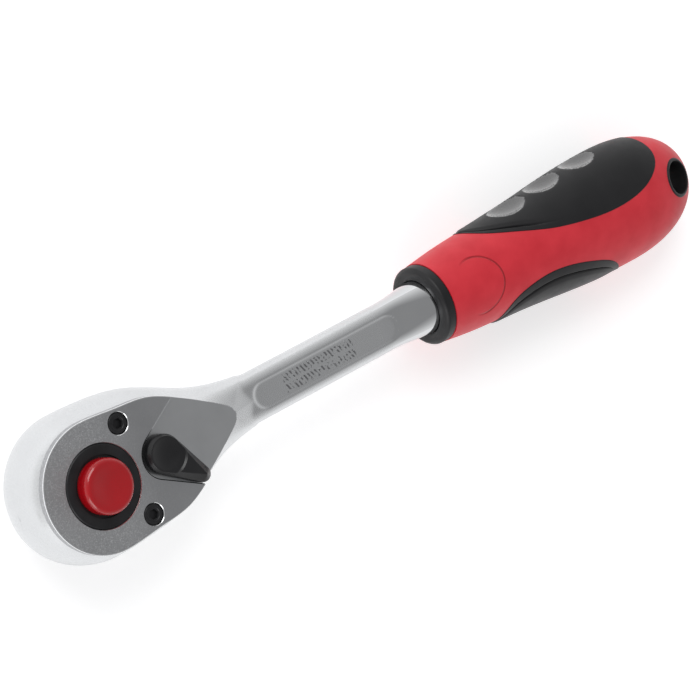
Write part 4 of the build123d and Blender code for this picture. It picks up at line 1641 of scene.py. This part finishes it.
    def make_collar(self, wardrobe: Wardrobe) -> None:
        """Turn the collar's profile and dress it.

        Args:
            wardrobe: Gives the materials.
        """
        start, end = COLLAR_START, HANDLE_START
        bore, full = self.collar_bore, self.collar_radius
        profile = [(bore, end), (bore, start + 0.5), (bore + 0.15, start + 0.12),
                   (bore + 0.4, start), (full - 1.0, start), (full - 0.8, start + 0.04),
                   (full - 0.35, start + 0.35), (full - 0.1, start + 0.62), (full, start + 0.9),
                   (full, end - 0.3), (full - 0.08, end - 0.08), (full - 0.2, end)]
        piece = lathe("collar", profile, 200, along_x=True)
        shade(piece, 30.0)
        finish_piece(piece, "handle_and_head", "black_core", wardrobe.get(Finish.BLACK_CORE),
                     "front_collar")

    def build(self, wardrobe: Wardrobe) -> None:
        """Make every piece of the handle.

        Args:
            wardrobe: Gives the materials.
        """
        pads = [Pad("upper_pad", "upper_grip_pad", self.UPPER, 1, 1.7, 0.0, 0.4),
                Pad("lower_pad", "lower_grip_pad", self.LOWER, -1, 2.6, 0.04, 0.86)]
        self.make_collar(wardrobe)
        self.make_shell(pads, wardrobe)
        for pad in pads:
            self.make_pad(pad, wardrobe)
        self.make_bush(wardrobe)


# --- carried-over parts -----------------------------------------------------------------------


@dataclass
class InnerParts:
    """CAD parts whose shape is right as it is, with the finish that each one gets."""

    FINISHES = {
        "drive_gear": Finish.BLACK_OXIDE,
        "button_clip": Finish.BLACK_OXIDE,
        "release_plunger": Finish.SPRING_STEEL,
        "release_spring": Finish.SPRING_STEEL,
        "retaining_ball": Finish.SPRING_STEEL,
        "thrust_washer": Finish.SPRING_STEEL,
        "pawl": Finish.BLACK_OXIDE,
        "selector_shaft": Finish.BLACK_OXIDE,
        "detent_pin": Finish.SPRING_STEEL,
        "detent_spring": Finish.SPRING_STEEL,
        "lever_clip": Finish.SPRING_STEEL,
        "drive_seal": Finish.SEAL_RUBBER,
        "lever_seal": Finish.SEAL_RUBBER,
        "handle_core": Finish.BLACK_CORE,
    }

    def build(self, wardrobe: Wardrobe) -> None:
        """Give each carried-over part its material.

        Args:
            wardrobe: Gives the materials.
        """
        for name, finish in self.FINISHES.items():
            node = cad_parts[name]
            node.data.materials.clear()
            node.data.materials.append(wardrobe.get(finish))
            LOG.info("%s: carried over in %s", name, finish.value.name)


# --- studio -----------------------------------------------------------------------------------


@dataclass
class Studio:
    """Pale floor that glows a little, grey surroundings, two soft lights and the camera."""

    lens: float = 154.29
    sensor: float = 36.0
    near: float = 0.01
    far: float = 20.0
    place: tuple[float, float, float] = (-0.28348, 0.13002, 0.55817)
    right: tuple[float, float, float] = (0.74007, -0.34821, 0.57536)
    up: tuple[float, float, float] = (0.39899, 0.91603, 0.04119)
    ahead: tuple[float, float, float] = (0.54139, -0.19908, -0.81686)
    floor_tilt: float = -3.55
    floor_place: tuple[float, float, float] = (0.0048, 0.0, -0.0002)
    floor_half: float = 2.0
    floor_steps: int = 24
    floor_glow: float = 0.42
    aim: tuple[float, float, float] = (0.07, 0.0, 0.02)
    overhead: float = 0.85

    # Name, place, width and height in metres, and power in watts of each light.
    LIGHTS = (("key", (-0.25, 0.75, 0.75), (0.7, 0.7), 6.6),
              ("fill", (-0.7, -0.55, 0.45), (0.6, 0.6), 3.2))

    def floor(self) -> None:
        """Lay a pale floor under the square's tip and the handle."""
        count, half = self.floor_steps, self.floor_half
        line = np.linspace(-half, half, count)
        x, y = np.meshgrid(line, line)
        points = np.column_stack([x.ravel(), y.ravel(), np.zeros(x.size)]) / MM
        piece = body_of_mesh("floor", points, grid_faces(count, count, False))
        piece.rotation_euler = (0.0, radians(self.floor_tilt), 0.0)
        piece.location = self.floor_place
        made = Recipe("pale_floor")
        tone = made.spread(made.noise(60.0, 3.0), "Fac", 0.0, 1.0)
        made.colours(tone, (0.80, 0.80, 0.805), (0.82, 0.82, 0.825))
        rough = made.spread(made.noise(3.0, 3.0), "Fac", 0.75, 0.85)
        made.join(rough, "Result", made.shader, "Roughness")
        made.shader.inputs["Specular IOR Level"].default_value = 0.1
        made.shader.inputs["Emission Color"].default_value = (1.0, 1.0, 1.0, 1.0)
        made.shader.inputs["Emission Strength"].default_value = self.floor_glow
        piece.data.materials.append(made.material)

    def light(self, name: str, place: Sequence[float], size: Point, power: float) -> None:
        """Hang one soft light that faces the wrench.

        Args:
            name: Name of the light.
            place: Where it hangs, in metres.
            size: Its width and height, in metres.
            power: Its power in watts.
        """
        data = bpy.data.lights.new(name, "AREA")
        data.shape, data.size, data.size_y, data.energy = "RECTANGLE", *size, power
        lamp = link(name, data)
        lamp.location = place
        aim = Vector(self.aim) - Vector(place)
        lamp.rotation_mode = "QUATERNION"
        lamp.rotation_quaternion = aim.to_track_quat("-Z", "Y")

    def sky(self) -> None:
        """Surround the set with pale grey that is darker overhead."""
        world = bpy.data.worlds.new("studio")
        bpy.context.scene.world = world
        world.use_nodes = True
        tree = world.node_tree
        tree.nodes.clear()
        output = tree.nodes.new("ShaderNodeOutputWorld")
        glow = tree.nodes.new("ShaderNodeBackground")
        place = tree.nodes.new("ShaderNodeTexCoord")
        split = tree.nodes.new("ShaderNodeSeparateXYZ")
        ramp = tree.nodes.new("ShaderNodeValToRGB")
        tree.links.new(place.outputs["Generated"], split.inputs[0])
        tree.links.new(split.outputs["Z"], ramp.inputs["Fac"])
        tree.links.new(ramp.outputs["Color"], glow.inputs["Color"])
        tree.links.new(glow.outputs[0], output.inputs["Surface"])
        low, high = ramp.color_ramp.elements
        low.position, low.color = 0.0, (1.0, 1.0, 1.0, 1.0)
        high.position, high.color = self.overhead, (0.34, 0.34, 0.343, 1.0)
        glow.inputs["Strength"].default_value = 1.0

    def camera(self) -> None:
        """Place the camera."""
        data = bpy.data.cameras.new("camera")
        data.lens, data.sensor_width = self.lens, self.sensor
        data.clip_start, data.clip_end = self.near, self.far
        eye = link("camera", data)
        axes = Matrix((self.right, self.up, tuple(-v for v in self.ahead))).transposed()
        eye.matrix_world = Matrix.Translation(self.place) @ axes.to_4x4()
        bpy.context.scene.camera = eye

    def build(self) -> None:
        """Set up the studio."""
        self.floor()
        self.sky()
        for name, place, size, power in self.LIGHTS:
            self.light(name, place, size, power)
        self.camera()
        bpy.context.scene.view_settings.view_transform = "Standard"


def main() -> None:
    """Build the wrench piece by piece and set up the studio."""
    logging.basicConfig(level=logging.INFO, format="%(name)s: %(message)s")
    wardrobe = Wardrobe()
    forging = Forging()
    forging.build(wardrobe)
    for part in (Cover(forging), Button(), Lever(), Handle(), InnerParts()):
        part.build(wardrobe)
    Studio().build()
    bpy.context.view_layer.update()


if __name__ == "__main__":
    main()
